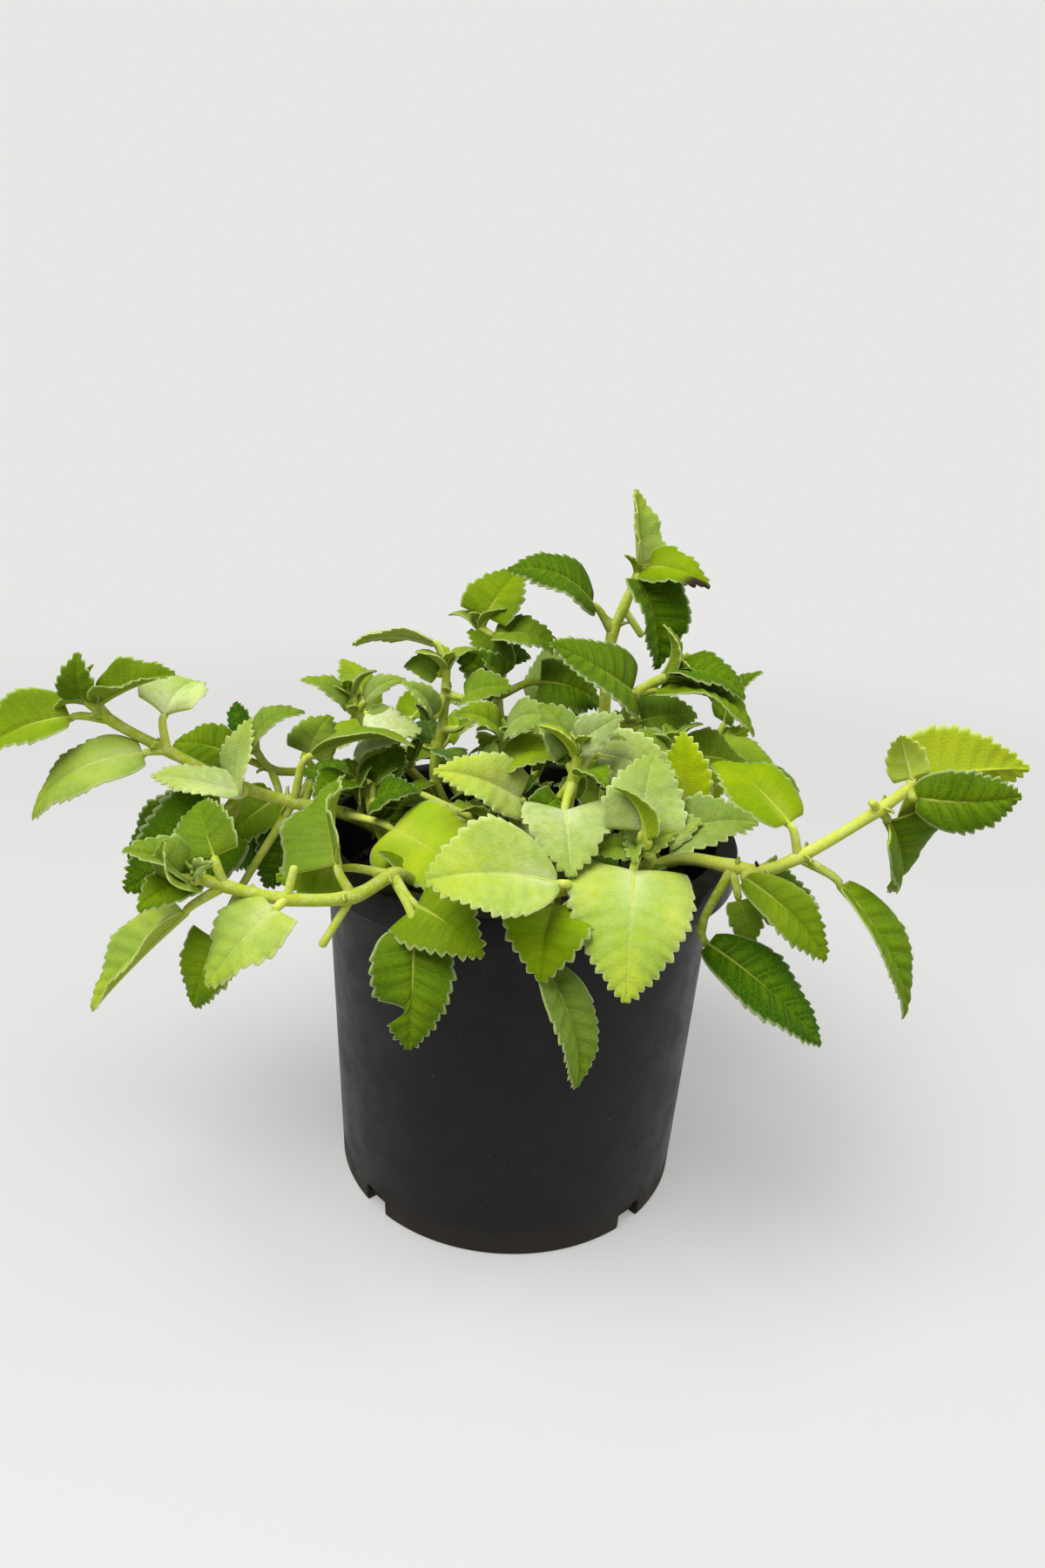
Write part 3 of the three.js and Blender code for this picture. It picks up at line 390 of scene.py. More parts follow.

# ---- Stems and leaves ----------------------------------------------------------------------------
# The plant's long stems trail over the pot, and its shoots stand up. Each is one growth of fleshy
# stem, petioles and leaves, rooted in the mix. Opposite leaves, a tuft of young ones at the end.
#
# Each stem in millimetres: its thickness, and its path from where it leaves the mix. A leaf's row
# is: the path point it grows from, where its blade begins, its tip, its width, the way its upper
# face looks, how far its halves fold up, in degrees, its arch as a share of its length, how light
# its green is (partly its age, partly painted shade), how milky (pale hairs, partly painted sheen),
# and a word if it is torn, scorched at its tip, or tapered to its petiole.
# A row of two is a bare petiole. Pairs are set by rule: path point, length, turn. A crown is the
# tuft at the end: its longest leaf, its turn, and in crown_way its direction, where that isn't the
# stem's own. Withered gives the tips of dry scales, and yellow how yellow the stem is.

STEMS = [
    dict(node="stem_left_high", thick=5, crown=(12, 20), path=[
        (-26, 0, 116), (-46, -4, 126), (-61, -8, 135), (-79, -12, 140), (-95, -14, 145),
        (-119, -18, 158), (-136, -20, 168), (-143, -20, 174),
    ], leaves=[
        (2, (-43, -24, 137), (-6, -50, 126), 34, (1, -4, 4), 10, 0.1, 0.9, 0.1),
        (3, (-72, -11, 157), (-38, -9, 161), 20, (0, 0.5, 4), 25, 0.1, 0.45, 0.1),
        (3, (-105, -20, 90), (-112, -26, 66), 24, (-1, -3, 2), 14, 0.08, 0.25, 0),
        (4, (-102, -22, 137), (-130, -34, 114), 34, (1, -3, 1), 12, 0.06, 0.16, 0),
        (4, (-105, -8, 128), (-141, -3, 111), 34, (-1, -4, 3), 12, 0.08, 0.16, 0),
        (5, (-119, -18, 170), (-116, 5, 176), 28, (0.3, -1, 3), 38, 0, 0.85, 0.45),
        (5, (-125, -23, 158), (-159, -32, 137), 26, (-2, -3, 4), 20, 0.1, 0.55, 0.3),
        (6, (-149, -20, 168), (-178, -26, 154), 26, (-1, -3, 4), 28, 0.1, 0.42, 0.1),
        (6, (-139, -20, 174), (-112, -26, 186), 21, (0, -1, 3), 40, 0.04, 0.25, 0),
        (7, (-144, -21, 175), (-142, -26, 191), 14, (0.5, -3, 1), 20, 0.1, 0.3, 0.05),
        (4, (-94, -20, 145), (-120, -30, 153), 18, (0.4, -1, 3), 25, 0.02, 0.8, 0.5),
        (4, (-95, -20, 146), (-91, -16, 170), 19, (-7, -7, 0), 15, 0.05, 0.55, 0.4),
    ]),
    dict(node="stem_left_low", thick=5, crown=(12, 10), crown_way=(-0.5, -0.75, 0.45), path=[
        (-29, -32, 116), (-34, -50, 131), (-38, -60, 137), (-48, -72, 135), (-66, -76, 135),
        (-83, -78, 139), (-90, -78, 141),
    ], leaves=[
        (2, (-29, -74, 134), (-9, -90, 128), 24, (0, -4, 3), 16, 0.1, 0.3, 0.05),
        (2, (-29, -81, 129), (-29, -90, 97), 25, (0, -4, 1), 14, 0.06, 0.15, 0, "torn"),
        (3, (-53, -68, 143), (-56, -44, 161), 35, (-3, -3, 1), 30, 0.02, 0.3, 0.08),
        (3, (-56, -76, 121)),
        (4, (-64, -74, 144)),
        (4, (-68, -81, 134), (-84, -94, 116), 28, (-2.5, -3, 2), 22, 0.06, 0.75, 0.27),
        (5, (-86, -76, 147), (-94, -60, 157), 18, (0, -4, 2), 20, 0.08, 0.3, 0.05),
        (5, (-94, -80, 131), (-118, -90, 104), 23, (-3, -2, 4), 34, 0, 0.68, 0.25),
        (2, (-55, -53, 135), (-74, -56, 132), 17, (0, -3, 2), 12, 0.06, 0.5, 0.15),
        (6, (-92, -81, 140), (-102, -92, 137), 15, (-1, -3, 3), 20, 0.1, 0.25, 0.05),
        (6, (-94, -82, 143), (-107, -87, 152), 20, (2, -2, 4), 34, 0.14, 0.38, 0.1),
        (6, (-91, -84, 143), (-95, -88, 156), 14, (-3, -3, 1), 30, 0.12, 0.25, 0.1),
    ]),
    dict(node="stem_left_rear", thick=4.2, crown=(13, 60), path=[
        (-38, 18, 116), (-56, 22, 135), (-78, 20, 140), (-93, 15, 142), (-98, 12, 150),
    ], leaves=[
        (3, (-104, 14, 146), (-131, 22, 147), 22, (-1, -2, 4), 15, 0.1, 0.25, 0),
        (4, (-97, 10, 155), (-80, 12, 165), 17, (-1, -2, 4), 20, 0.14, 0.35, 0.1),
        (4, (-101, 14, 153), (-108, 24, 164), 11, (0, -3, 2), 35, 0, 0.05, 0),
        (2, (-80, 17, 148), (-73, 24, 161), 19, (0, -4, 2), 10, 0.1, 0.55, 0.15),
        (2, (-87, 9, 127), (-106, 5, 106), 28, (-1, -3, 2), 10, 0.1, 0.1, 0),
        (3, (-90, 8, 133), (-108, -2, 119), 20, (-1, -3, 2), 10, 0.1, 0.25, 0.1),
        (2, (-82, 2, 125), (-92, -3, 103), 23, (0, -3, 1), 12, 0.08, 0.08, 0),
    ]),
    dict(node="stem_left_inner", thick=4, crown=(14, 20), path=[
        (-44, -12, 116), (-52, -10, 136), (-57, -2, 145),
    ], leaves=[
        (1, (-50, -16, 144), (-36, -22, 150), 16, (0, -2, 4), 15, 0.1, 0.1, 0.05),
        (1, (-52, -4, 146), (-44, 8, 155), 16, (0, -3, 3), 15, 0.1, 0.15, 0.05),
        (2, (-62, 2, 143), (-80, 8, 144), 17, (0, -2, 4), 15, 0.1, 0.15, 0),
        (2, (-60, -6, 146), (-70, -20, 145), 15, (0, -2, 4), 15, 0.1, 0.15, 0),
    ]),
    dict(node="stem_rear_left", thick=4, crown=(12, 30), path=[
        (-20, 24, 116), (-46, 24, 144), (-56, 20, 154), (-62, 18, 165), (-64, 18, 171),
    ], leaves=[
        (3, (-66, 16, 167), (-81, 12, 177), 14, (1, -2, 4), 25, 0.15, 0.4, 0.2),
        (3, (-59, 17, 169), (-45, 20, 177), 12, (0, -2, 4), 25, 0.15, 0.45, 0.25),
        (2, (-57, 11, 162), (-44, 6, 167), 13, (0, -3, 3), 15, 0.05, 0.4, 0.3),
        (2, (-58, 6, 159), (-37, 0, 164), 21, (0, -2, 3), 15, 0.05, 0.85, 0.65),
    ]),
    dict(node="stem_centre_left", thick=4.2, crown=(12, 45), path=[
        (-18, 4, 116), (-32, 0, 148), (-30, 0, 165), (-29, 0, 178), (-29, 0, 187),
    ], leaves=[
        (4, (-34, 1, 195), (-60, -4, 194), 17, (0, 2, 4), 20, 0.08, 0.5, 0.5),
        (4, (-32, 2, 184), (-44, 8, 185), 12, (0, -3, 3), 20, 0.1, 0.35, 0.1),
        (3, (-33, -4, 171), (-43, -8, 183), 12, (1, -2, 3), 30, 0.15, 0.45, 0.25),
        (3, (-22, -4, 178), (-6, -8, 183), 16, (0, -2, 3), 20, 0.1, 0.28, 0.1),
        (2, (-23, -6, 168), (-12, -10, 174), 11, (0, -2, 3), 20, 0.1, 0.35, 0.15),
    ]),
    dict(node="stem_centre_tall", thick=4.2, crown=(12, 0), path=[
        (0, 16, 116), (-9, 14, 156), (-12, 15, 174), (-17, 16, 189), (-19, 16, 198),
    ], leaves=[
        (4, (-17, 16, 202), (-6, 28, 217), 22, (-2, -4, 1), 12, 0.06, 0.38, 0),
        (4, (-14, 14, 196), (10, 12, 191), 19, (0, -2, 4), 22, 0.14, 0.3, 0.1),
        (3, (-10, 13, 182), (-23, 15, 197), 15, (1, -3, 3), 20, 0.1, 0.3, 0.1),
        (3, (-12, 18, 186), (-1, 24, 187), 10, (0, -3, 3), 20, 0.1, 0.05, 0),
        (2, (3, 15, 180), (25, 18, 172), 22, (0, -3, 3), 15, 0.16, 0.1, 0),
        (2, (-12, 10, 180), (-26, 6, 191), 18, (1, -3, 2), 18, 0.08, 0.15, 0),
    ]),
    dict(node="stem_centre_low", thick=4, crown=(10, 45), path=[
        (2, -6, 116), (-6, -16, 150), (-8, -18, 169),
    ], leaves=[
        (2, (-7, -20, 172), (9, -28, 179), 15, (0, -3, 4), 20, 0.14, 0.4, 0.25),
        (2, (-10, -20, 172), (-24, -26, 178), 14, (0, -3, 4), 20, 0.1, 0.35, 0.15),
        (1, (-8, -22, 161), (13, -28, 166), 18, (0, -2, 4), 15, 0.16, 0.55, 0.1),
        (1, (-2, -30, 152), (-29, -36, 162), 26, (1, -3, 4), 28, 0.06, 1, 0.3),
    ]),
    dict(node="stem_tall", thick=5, crown=(9, 45), path=[
        (18, 14, 116), (26, 11, 160), (26, 11, 177), (26, 12, 190), (27, 14, 199), (30, 14, 208),
        (34, 16, 219),
    ], leaves=[
        (4, (19, 12, 209), (-10, 4, 220), 24, (0, -4, 8), 20, 0.12, 0.1, 0),
        (6, (35, 16, 222), (31, 20, 247), 19, (3, -3, 0), 38, 0, 0.6, 0.25),
        (6, (37, 14, 222), (57, 4, 218), 19, (0, -3, 4), 22, 0.12, 0.5, 0.05, "scorched"),
        (6, (34, 11, 218), (42, 6, 189), 28, (2.4, -3, 0.6), 40, 0.04, 0.15, 0),
        (5, (37, 14, 199)),
    ]),
    dict(node="stem_right_shoot", thick=5, crown=(17, 0), path=[
        (28, -2, 116), (28, -6, 158), (31, -6, 172), (35, -6, 183), (44, -8, 190),
    ], leaves=[
        (4, (46, -8, 191), (69, -16, 186), 22, (0, -1, 4), 22, 0.14, 0.18, 0),
        (3, (42, -8, 185), (73, -18, 174), 24, (1, -1, 3), 25, 0.14, 0.25, 0.05),
        (3, (33, -8, 184), (5, -20, 201), 30, (1, -2, 4), 16, 0.05, 0.22, 0.1),
        (2, (38, -3, 173), (57, 1, 175), 18, (0, -2, 2), 20, 0.1, 0.15, 0.05),
    ]),
    dict(node="stem_front_centre", thick=4.5, crown=(15, 20), path=[
        (12, -24, 116), (13, -44, 154), (14, -46, 165), (15, -46, 173),
    ], leaves=[
        (2, (12, -54, 158), (14, -76, 147), 28, (0, -2, 1), 17, 0.1, 0.65, 0.38),
        (2, (22, -38, 171), (46, -44, 166), 20, (-1, -3, 3), 12, 0.1, 0.5, 0.3),
        (3, (16, -46, 177), (27, -50, 187), 14, (0, -3, 3), 20, 0.1, 0.4, 0.42),
        (3, (13, -42, 173), (3, -34, 185), 15, (0, -4, 3), 20, 0.1, 0.3, 0.25),
        (2, (10, -46, 159), (3, -46, 149), 12, (-1, -3, 2), 20, 0.1, 0.12, 0),
    ]),
    dict(node="stem_front_low", thick=4.5, path=[
        (14, -38, 116), (26, -58, 137), (16, -66, 139), (6, -72, 138),
    ], leaves=[
        (2, (10, -80, 146.5), (-25, -92, 150.5), 32, (0, -3, 4), 18, 0.08, 0.8, 0.36, "tapered"),
        (3, (9, -77, 138), (7, -93, 123), 27, (0, -4, 3), 14, 0.1, 0.5, 0),
        (3, (7, -84, 124), (19, -92, 89), 19, (3, -3, 0), 40, 0.06, 0.3, 0.22),
    ]),
    dict(node="stem_front", thick=4.5, crown=(15, 15), path=[
        (24, -28, 116), (39, -52, 143), (34, -62, 151),
    ], leaves=[
        (2, (32, -70, 147), (30, -98, 121), 36, (0, -4, 2), 8, 0.1, 0.85, 0.25),
        (2, (43, -62, 155), (66, -68, 163), 20, (0, -3, 4), 24, 0.1, 0.38, 0.22),
        (2, (34, -66, 158), (37, -53, 177), 25, (0, -3, 3), 15, 0.05, 0.6, 0.36),
        (2, (35, -70, 157), (25, -67, 171), 14, (8, 3, 4), 35, 0.1, 0.35, 0.1),
        (2, (41, -67, 157), (50, -68, 163), 10, (0, -3, 3), 20, 0.1, 0.5, 0.3),
    ]),
    dict(node="stem_right_long", thick=5, yellow=0.9,
         withered=[(72.2, -46.4, 142.5), (88.8, -50, 150.5), (101.7, -54.5, 166.2)], path=[
        (38, -16, 116), (50, -29, 134), (66, -41, 138), (74, -46, 139), (84, -50, 146),
        (104, -54, 164), (111, -56, 172),
    ], leaves=[
        (4, (80, -48, 156), (60, -23, 166), 24, (1, -3, 4), 18, 0.1, 0.6, 0),
        (4, (97, -54, 139), (119, -64, 101), 20, (2, -2, 3), 22, 0.08, 0.3, 0.05),
        (5, (108, -52, 160), (115, -44, 135), 34, (2.4, -3, 0.8), 38, 0.06, 0.15, 0),
        (6, (112, -54, 171), (147, -50, 178), 33, (-0.3, 3, -0.2), 26, 0.04, 0.88, 0.12),
        (6, (112, -59, 170), (143, -57, 172), 19, (0, -4, 1.4), 12, 0.04, 0.12, 0),
        (6, (111, -56, 175), (105, -58, 188), 13, (0.5, 3, -0.5), 20, 0.1, 1, 0.25),
        (3, (68, -53, 139), (92, -66, 120), 19, (1, -3, 3), 38, 0.08, 0.35, 0.02),
        (3, (74, -40, 133), (97, -40, 116), 20, (0, -4, 3), 20, 0.08, 0.25, 0.05),
        (2, (68, -49, 130), (72, -54, 116), 12, (0, -3, 3), 15, 0.08, 0.35, 0.1),
        (2, (58, -58, 119), (92, -74, 96), 25, (1, -3, 5), 24, 0.1, 0.08, 0),
        (4, (90, -52, 144)),
        (5, (101, -56, 167)),
    ]),
    dict(node="stem_right_mid", thick=4.2, crown=(12, 30), path=[
        (38, 6, 116), (49, -14, 146), (49, -18, 160), (47, -18, 169),
    ], leaves=[
        (2, (50, -36, 156), (48, -31, 178), 18, (-1, -3, 2), 15, 0.04, 0.8, 0.05),
        (2, (46, -20, 166), (29, -26, 171), 15, (0, -2, 4), 20, 0.15, 0.4, 0.1),
        (2, (54, -13, 164), (78, -2, 152), 24, (0, -3, 4), 12, 0.12, 0.2, 0),
    ]),
    dict(node="stem_centre_inner", thick=4, crown=(12, 70), path=[
        (-10, -18, 116), (-9, -20, 130), (-11, -16, 137),
    ], leaves=[
        (1, (-4, -26, 137), (7, -36, 143), 16, (0, -2, 4), 12, 0.1, 0.55, 0.4),
        (1, (-16, -15, 135), (-34, -8, 138), 16, (0, -2, 4), 12, 0.1, 0.7, 0.2),
        (2, (-47, -6, 148)),
    ]),
    dict(node="stem_rear_mid", thick=4.5, crown=(15, 0),
         pairs=[(1, 26, 20), (2, 31, 80), (3, 27, 10)], path=[
        (2, 34, 116), (4, 52, 138), (6, 74, 144), (8, 94, 138),
    ]),
    dict(node="stem_rear_right", thick=4.5, crown=(15, 30),
         pairs=[(1, 27, 60), (2, 32, 0), (3, 26, 80)], path=[
        (28, 32, 116), (42, 46, 139), (60, 62, 147), (78, 76, 145),
    ]),
    dict(node="stem_rear_far_left", thick=4.5, crown=(15, 10),
         pairs=[(1, 25, 50), (2, 32, 10), (3, 27, 90)], path=[
        (-22, 42, 116), (-37, 52, 139), (-54, 70, 144), (-68, 86, 138),
    ]),
    dict(node="stem_rear_low_right", thick=4.2, crown=(14, 50),
         pairs=[(1, 25, 70), (2, 27, 10)], path=[
        (46, 16, 116), (56, 25, 138), (72, 34, 143),
    ]),
]


def metres(point):
    """A point given in millimetres."""
    return Vector([value / 1000 for value in point])


def clamp(value, low, high):
    return max(low, min(high, value))


def eased(value, low, high):
    """0 below low and 1 above high, smooth between."""
    t = clamp((value - low) / (high - low), 0, 1)
    return t * t * (3 - 2 * t)


def spline_points(points, count):
    """Points spaced evenly by parameter on a centripetal spline through the given ones."""
    ends = [2 * points[0] - points[1], *points, 2 * points[-1] - points[-2]]
    made = []
    for i in range(count + 1):
        share = i / count * (len(points) - 1)
        k = min(int(share), len(points) - 2)
        near = ends[k:k + 4]
        knots = [0]
        for start, end in zip(near, near[1:]):
            knots.append(knots[-1] + math.sqrt((end - start).length))
        t = knots[1] + (share - k) * (knots[2] - knots[1])
        for span in (1, 2):
            near = [
                start.lerp(end, (t - knots[j]) / (knots[j + span] - knots[j]))
                for j, (start, end) in enumerate(zip(near, near[1:]))
            ]
        made.append(near[0].lerp(near[1], share - k))
    return made


# Every vertex carries a tint: how light (partly painted shade), how milky (pale hairs and painted
# sheen), which skin, and how burnt. A rod's end has a smaller ring, which stands out by a share of
# its radius.
UNDERSIDE, STEM_SKIN, UPPER_FACE = 0, 0.5, 1
ROUND_END = (0.55, 0.8)


def add_rod(bm, layers, centres, radii, sides, look, stem_rings=None, burnt=0):
    """A round rod along the centres, its ends rounded off. It is stem, or leaf after stem_rings."""
    last = len(centres) - 1
    made = bmesh.ops.create_grid(bm, x_segments=sides, y_segments=last + 2, size=0.5)["verts"]
    frames = []
    level = abs((centres[1] - centres[0]).normalized().x) < 0.8
    corner = Vector((1, 0, 0)) if level else Vector((0, 1, 0))
    for i in range(last + 1):
        axis = (centres[min(i + 1, last)] - centres[max(i - 1, 0)]).normalized()
        corner = (corner - corner.dot(axis) * axis).normalized()
        frames.append((centres[i], corner.copy(), axis.cross(corner), axis, radii[i]))
    for vert in made:
        ring = round((vert.co.y + 0.5) * (last + 2))
        centre, across, other, axis, radius = frames[clamp(ring - 1, 0, last)]
        if ring in (0, last + 2):
            radius *= ROUND_END[0]
            centre = centre + axis * radius * ROUND_END[1] * (-1 if ring == 0 else 1)
        angle = math.tau * (vert.co.x + 0.5)
        vert.co = centre + radius * (math.cos(angle) * across + math.sin(angle) * other)
        is_leaf = stem_rings is not None and ring > stem_rings
        vert[layers["tint"]] = (*look, UNDERSIDE if is_leaf else STEM_SKIN, burnt)
    bmesh.ops.remove_doubles(bm, verts=made, dist=1e-6)
    made = [vert for vert in made if vert.is_valid]
    rims = [edge for edge in {e for v in made for e in v.link_edges} if edge.is_boundary]
    bmesh.ops.holes_fill(bm, edges=rims, sides=0)
    bmesh.ops.recalc_face_normals(bm, faces=list({f for v in made for f in v.link_faces}))


# Petioles and midribs
PETIOLE_RADIUS = 0.00125
PETIOLE_SIDES = 10
PETIOLE_RINGS = 10
PETIOLE_FLARE = 1.25
PETIOLE_THIN = 0.3
PETIOLE_BENDS = (0.35, 0.3)
PETIOLE_LEAST = 1.4
BARE_LOOK = (0.7, 0.3)
MIDRIB_START = 0.95
MIDRIB_END = 0.86
MIDRIB_RINGS = 12
MIDRIB_THIN = 0.00022
MIDRIB_TAPER = 0.8
MIDRIB_SUNK = 0.35


def add_petiole(bm, layers, node, base, axis, underside, small, look):
    """It leaves the stem squarely, bends to the blade, and runs on beneath as its midrib."""
    gap = (base - node).length
    centres, radii = [], []
    if gap > PETIOLE_LEAST * PETIOLE_RADIUS:
        first_bend, last_bend = PETIOLE_BENDS
        handles = (node, node.lerp(base, first_bend), base - axis * last_bend * gap, base)
        for i in range(PETIOLE_RINGS):
            t = i / PETIOLE_RINGS
            weights = ((1 - t) ** 3, 3 * t * (1 - t) ** 2, 3 * t * t * (1 - t), t ** 3)
            centres.append(sum((w * h for w, h in zip(weights, handles)), Vector()))
            radii.append(PETIOLE_RADIUS * (PETIOLE_FLARE - PETIOLE_THIN * t))
    stem_rings = len(centres)
    for i in range(MIDRIB_RINGS):
        u = MIDRIB_END * i / (MIDRIB_RINGS - 1)
        centres.append(underside(u))
        radius = PETIOLE_RADIUS * MIDRIB_START * small * (1 - u) ** MIDRIB_TAPER
        radii.append(max(radius, MIDRIB_THIN))
    add_rod(bm, layers, centres, radii, PETIOLE_SIDES, look, stem_rings)


# A broad blade is all but square where it meets its petiole, and broadest a third of the way up. A
# narrow one starts as a wedge without teeth. Both taper to the tip, and the broadest are hearts.
BASE_POWER = (0.6, 0.36)
TAPERED_POWER = 0.9
TIP_POWER = 0.86
BLUNT_FROM = (0.55, 0.8)
SHOULDER = 0.045
HEART_FROM = (0.72, 0.98)
HEART_SHOULDER = 0.11
HEART_LOBES = 0.06
LOBE_POWER = 5
TIP_HALF_WIDTH = 0.0003
BLADE_FOOT = 0.8

# It is thick in the middle and thin at the margin, with a groove over the midrib and a swelling
# between each two side veins. Milky leaves are smoother.
BLADE_THICK = 0.00115
MARGIN_THICK = 0.0003
THIN_POWER = 8
COLUMN_POWER = 1.4
GROOVE_DEPTH = 0.00035
GROOVE_WIDTH = 0.0009
VEIN_SPACING = 0.0043
VEIN_RANGE = (3, 8)
VEIN_SWEEP = 0.13
QUILT_HEIGHT = 0.0007
QUILT_LEAST = 0.12
QUILT_POWER = 0.6
MILKY_SMOOTH = 1.6

# Its teeth lean towards the tip, and no two neighbours are equally deep.
TOOTH_SPACING = 0.0027
TEETH_RANGE = (4, 15)
TOOTH_DEPTH = 0.0012
TOOTH_POINT = 0.6
TOOTH_ROUND = 0.6
TOOTH_MIDDLE = 0.6
TOOTH_LEAN = 0.3
TOOTH_UNEVEN = 0.3
TOOTH_STEP = 2.4
MARGIN_POWER = 5
TOOTHLESS = (0.04, 0.16)
WEDGE_BARE = 0.14

# No two leaves are alike. The ranges of: how far it folds, against its row, how much more one half
# does, twist, bend to a side, curl of the tip, cupping, where its waves begin, how many, how high.
LEAF_VARIES = (
    (0.85, 1.3), (-0.22, 0.22), (-0.3, 0.3), (-0.05, 0.05), (0.02, 0.2), (0.02, 0.34),
    (0, math.tau), (1.2, 2.6), (0.04, 0.13),
)
FOLD_OPENS = (1.2, 0.5)
TWIST_MIDDLE = 0.3
TEAR_STARTS = (0.56, 0.59)
TEAR_ENDS = (0.68, 0.78)
TEAR_DEPTH = 0.75
SCORCH_SLANT = 0.3
SCORCHED_FROM = (0.72, 0.95)

# Rows of faces to a tooth, and columns across, in large, middling and tiny leaves.
FULL_SIZE = 0.025
LARGE_LEAF = 0.0155
TINY_LEAF = 0.0085
GRAIN = {"large": (5, 20), "middling": (4, 12), "tiny": (2, 8)}


def blade_outline(u, power, shoulder):
    """Half the blade's width at share u of its length, as a share of its greatest."""
    u = clamp(u, 0, 1)
    broadest = power / (power + TIP_POWER)
    swelling = ((u + shoulder) / (broadest + shoulder)) ** power
    return swelling * ((1 - u) / (1 - broadest)) ** TIP_POWER


def add_leaf(bm, layers, node, row, look, draws):
    """One leaf: a petiole that runs on as the midrib beneath, and a toothed, quilted blade."""
    base, tip, wide, face, fold, arch = row
    tone, milk_and_sheen, mark = look
    run = tip - base
    length = run.length
    axis = run.normalized()
    up = (face - face.dot(axis) * axis).normalized()
    side = axis.cross(up)
    teeth = round(clamp(length / TOOTH_SPACING, *TEETH_RANGE))
    veins = round(clamp(length / VEIN_SPACING, *VEIN_RANGE))
    small = min(length / FULL_SIZE, 1)
    broad = 0 if mark == "tapered" else wide / length
    heart = eased(broad, *HEART_FROM)
    shoulder = SHOULDER + HEART_SHOULDER * heart
    blunt = eased(broad, *BLUNT_FROM)
    power = BASE_POWER[0] + (BASE_POWER[1] - BASE_POWER[0]) * blunt
    power = TAPERED_POWER if mark == "tapered" else power
    bare = WEDGE_BARE * (1 - blunt)

    varied = [draws.uniform(*span) for span in LEAF_VARIES]
    folds, skew, twist, bend, curl, cup, phase, waves, wave = varied
    tilt = math.radians(fold) * folds
    wave *= small
    smoothed = 1 - MILKY_SMOOTH * min(milk_and_sheen, 0.5)
    quilt = (QUILT_LEAST + draws.random() ** 2) * QUILT_HEIGHT * small * smoothed

    def on_midrib(u):
        lift = 4 * arch * u * (1 - u) + curl * (u - u ** 3)
        return base + run * u + length * (up * lift + side * 4 * bend * u * (1 - u))

    def reach_at(u_edge, v, sign):
        """How far the blade reaches from its midrib, before its teeth."""
        narrowest = TIP_HALF_WIDTH + PETIOLE_RADIUS * BLADE_FOOT * (1 - v)
        reach = max(wide / 2 * blade_outline(u_edge, power, shoulder), narrowest)
        if mark == "torn" and sign > 0:
            reach *= 1 - TEAR_DEPTH * eased(u_edge, *TEAR_STARTS) * (1 - eased(u_edge, *TEAR_ENDS))
        return reach

    def place(across, v, skin):
        s = abs(across) ** COLUMN_POWER
        sign = 1 if across >= 0 else -1
        u_edge = clamp(v + VEIN_SWEEP * 4 * v * (1 - v), 0, 1)
        u = v + (u_edge - v) * s - HEART_LOBES * heart * s * (1 - v) ** LOBE_POWER
        reach = reach_at(u_edge, v, sign)
        tooth = v * teeth % 1
        bite = min(tooth / TOOTH_POINT, (1 - tooth) / (1 - TOOTH_POINT)) ** TOOTH_ROUND
        bite *= 1 + TOOTH_UNEVEN * math.sin(phase + TOOTH_STEP * math.floor(v * teeth) + sign)
        edge = s ** MARGIN_POWER * eased(v - bare, *TOOTHLESS)
        out = s * reach + edge * TOOTH_DEPTH * small * (bite - TOOTH_MIDDLE)
        u += edge * TOOTH_LEAN * TOOTH_SPACING * bite / length
        swelling = math.sin(math.pi * v * veins) ** 2 * (s * (1 - s) * 4) ** QUILT_POWER
        lean = tilt * (1 + sign * skew) * (FOLD_OPENS[0] - FOLD_OPENS[1] * v)
        rise = reach * s * math.sin(lean) - cup * reach * s * s + quilt * swelling
        rise += wave * reach * s * s * math.sin(math.tau * waves * v + phase + sign)
        thick = MARGIN_THICK + (BLADE_THICK - MARGIN_THICK) * (1 - s ** THIN_POWER)
        if skin == UPPER_FACE:
            rise += thick / 2 - GROOVE_DEPTH * math.exp(-(out / GROOVE_WIDTH) ** 2) * small
        else:
            rise -= thick / 2
        turn = twist * (u - TWIST_MIDDLE)
        flat = sign * out * math.cos(lean)
        beside = flat * math.cos(turn) - rise * math.sin(turn)
        above = flat * math.sin(turn) + rise * math.cos(turn)
        return on_midrib(min(u, 1)) + side * beside + up * above

    grain = "large" if length > LARGE_LEAF else "middling" if length > TINY_LEAF else "tiny"
    rows_per_tooth, columns = GRAIN[grain]
    slab = bmesh.ops.create_grid(
        bm, x_segments=columns, y_segments=rows_per_tooth * teeth, size=0.5, calc_uvs=False,
    )["verts"]
    faces = list({face for vert in slab for face in vert.link_faces})
    lifted = bmesh.ops.extrude_face_region(bm, geom=faces, use_keep_orig=True)["geom"]
    tops = {item for item in lifted if isinstance(item, bmesh.types.BMVert)}
    made = set(slab) | tops
    for vert in made:
        across, v = vert.co.x * 2, vert.co.y + 0.5
        skin = UPPER_FACE if vert in tops else UNDERSIDE
        scorched = eased(v + SCORCH_SLANT * across, *SCORCHED_FROM) if mark == "scorched" else 0
        vert[layers["spot"]] = (across, v, veins)
        vert[layers["tint"]] = (tone, milk_and_sheen, skin, scorched)
        vert.co = place(across, v, skin)
    bmesh.ops.recalc_face_normals(bm, faces=list({f for v in made for f in v.link_faces}))

    def underside(u):
        return on_midrib(u) - up * BLADE_THICK * MIDRIB_SUNK

    add_petiole(bm, layers, node, base, axis, underside, small, (tone, milk_and_sheen))


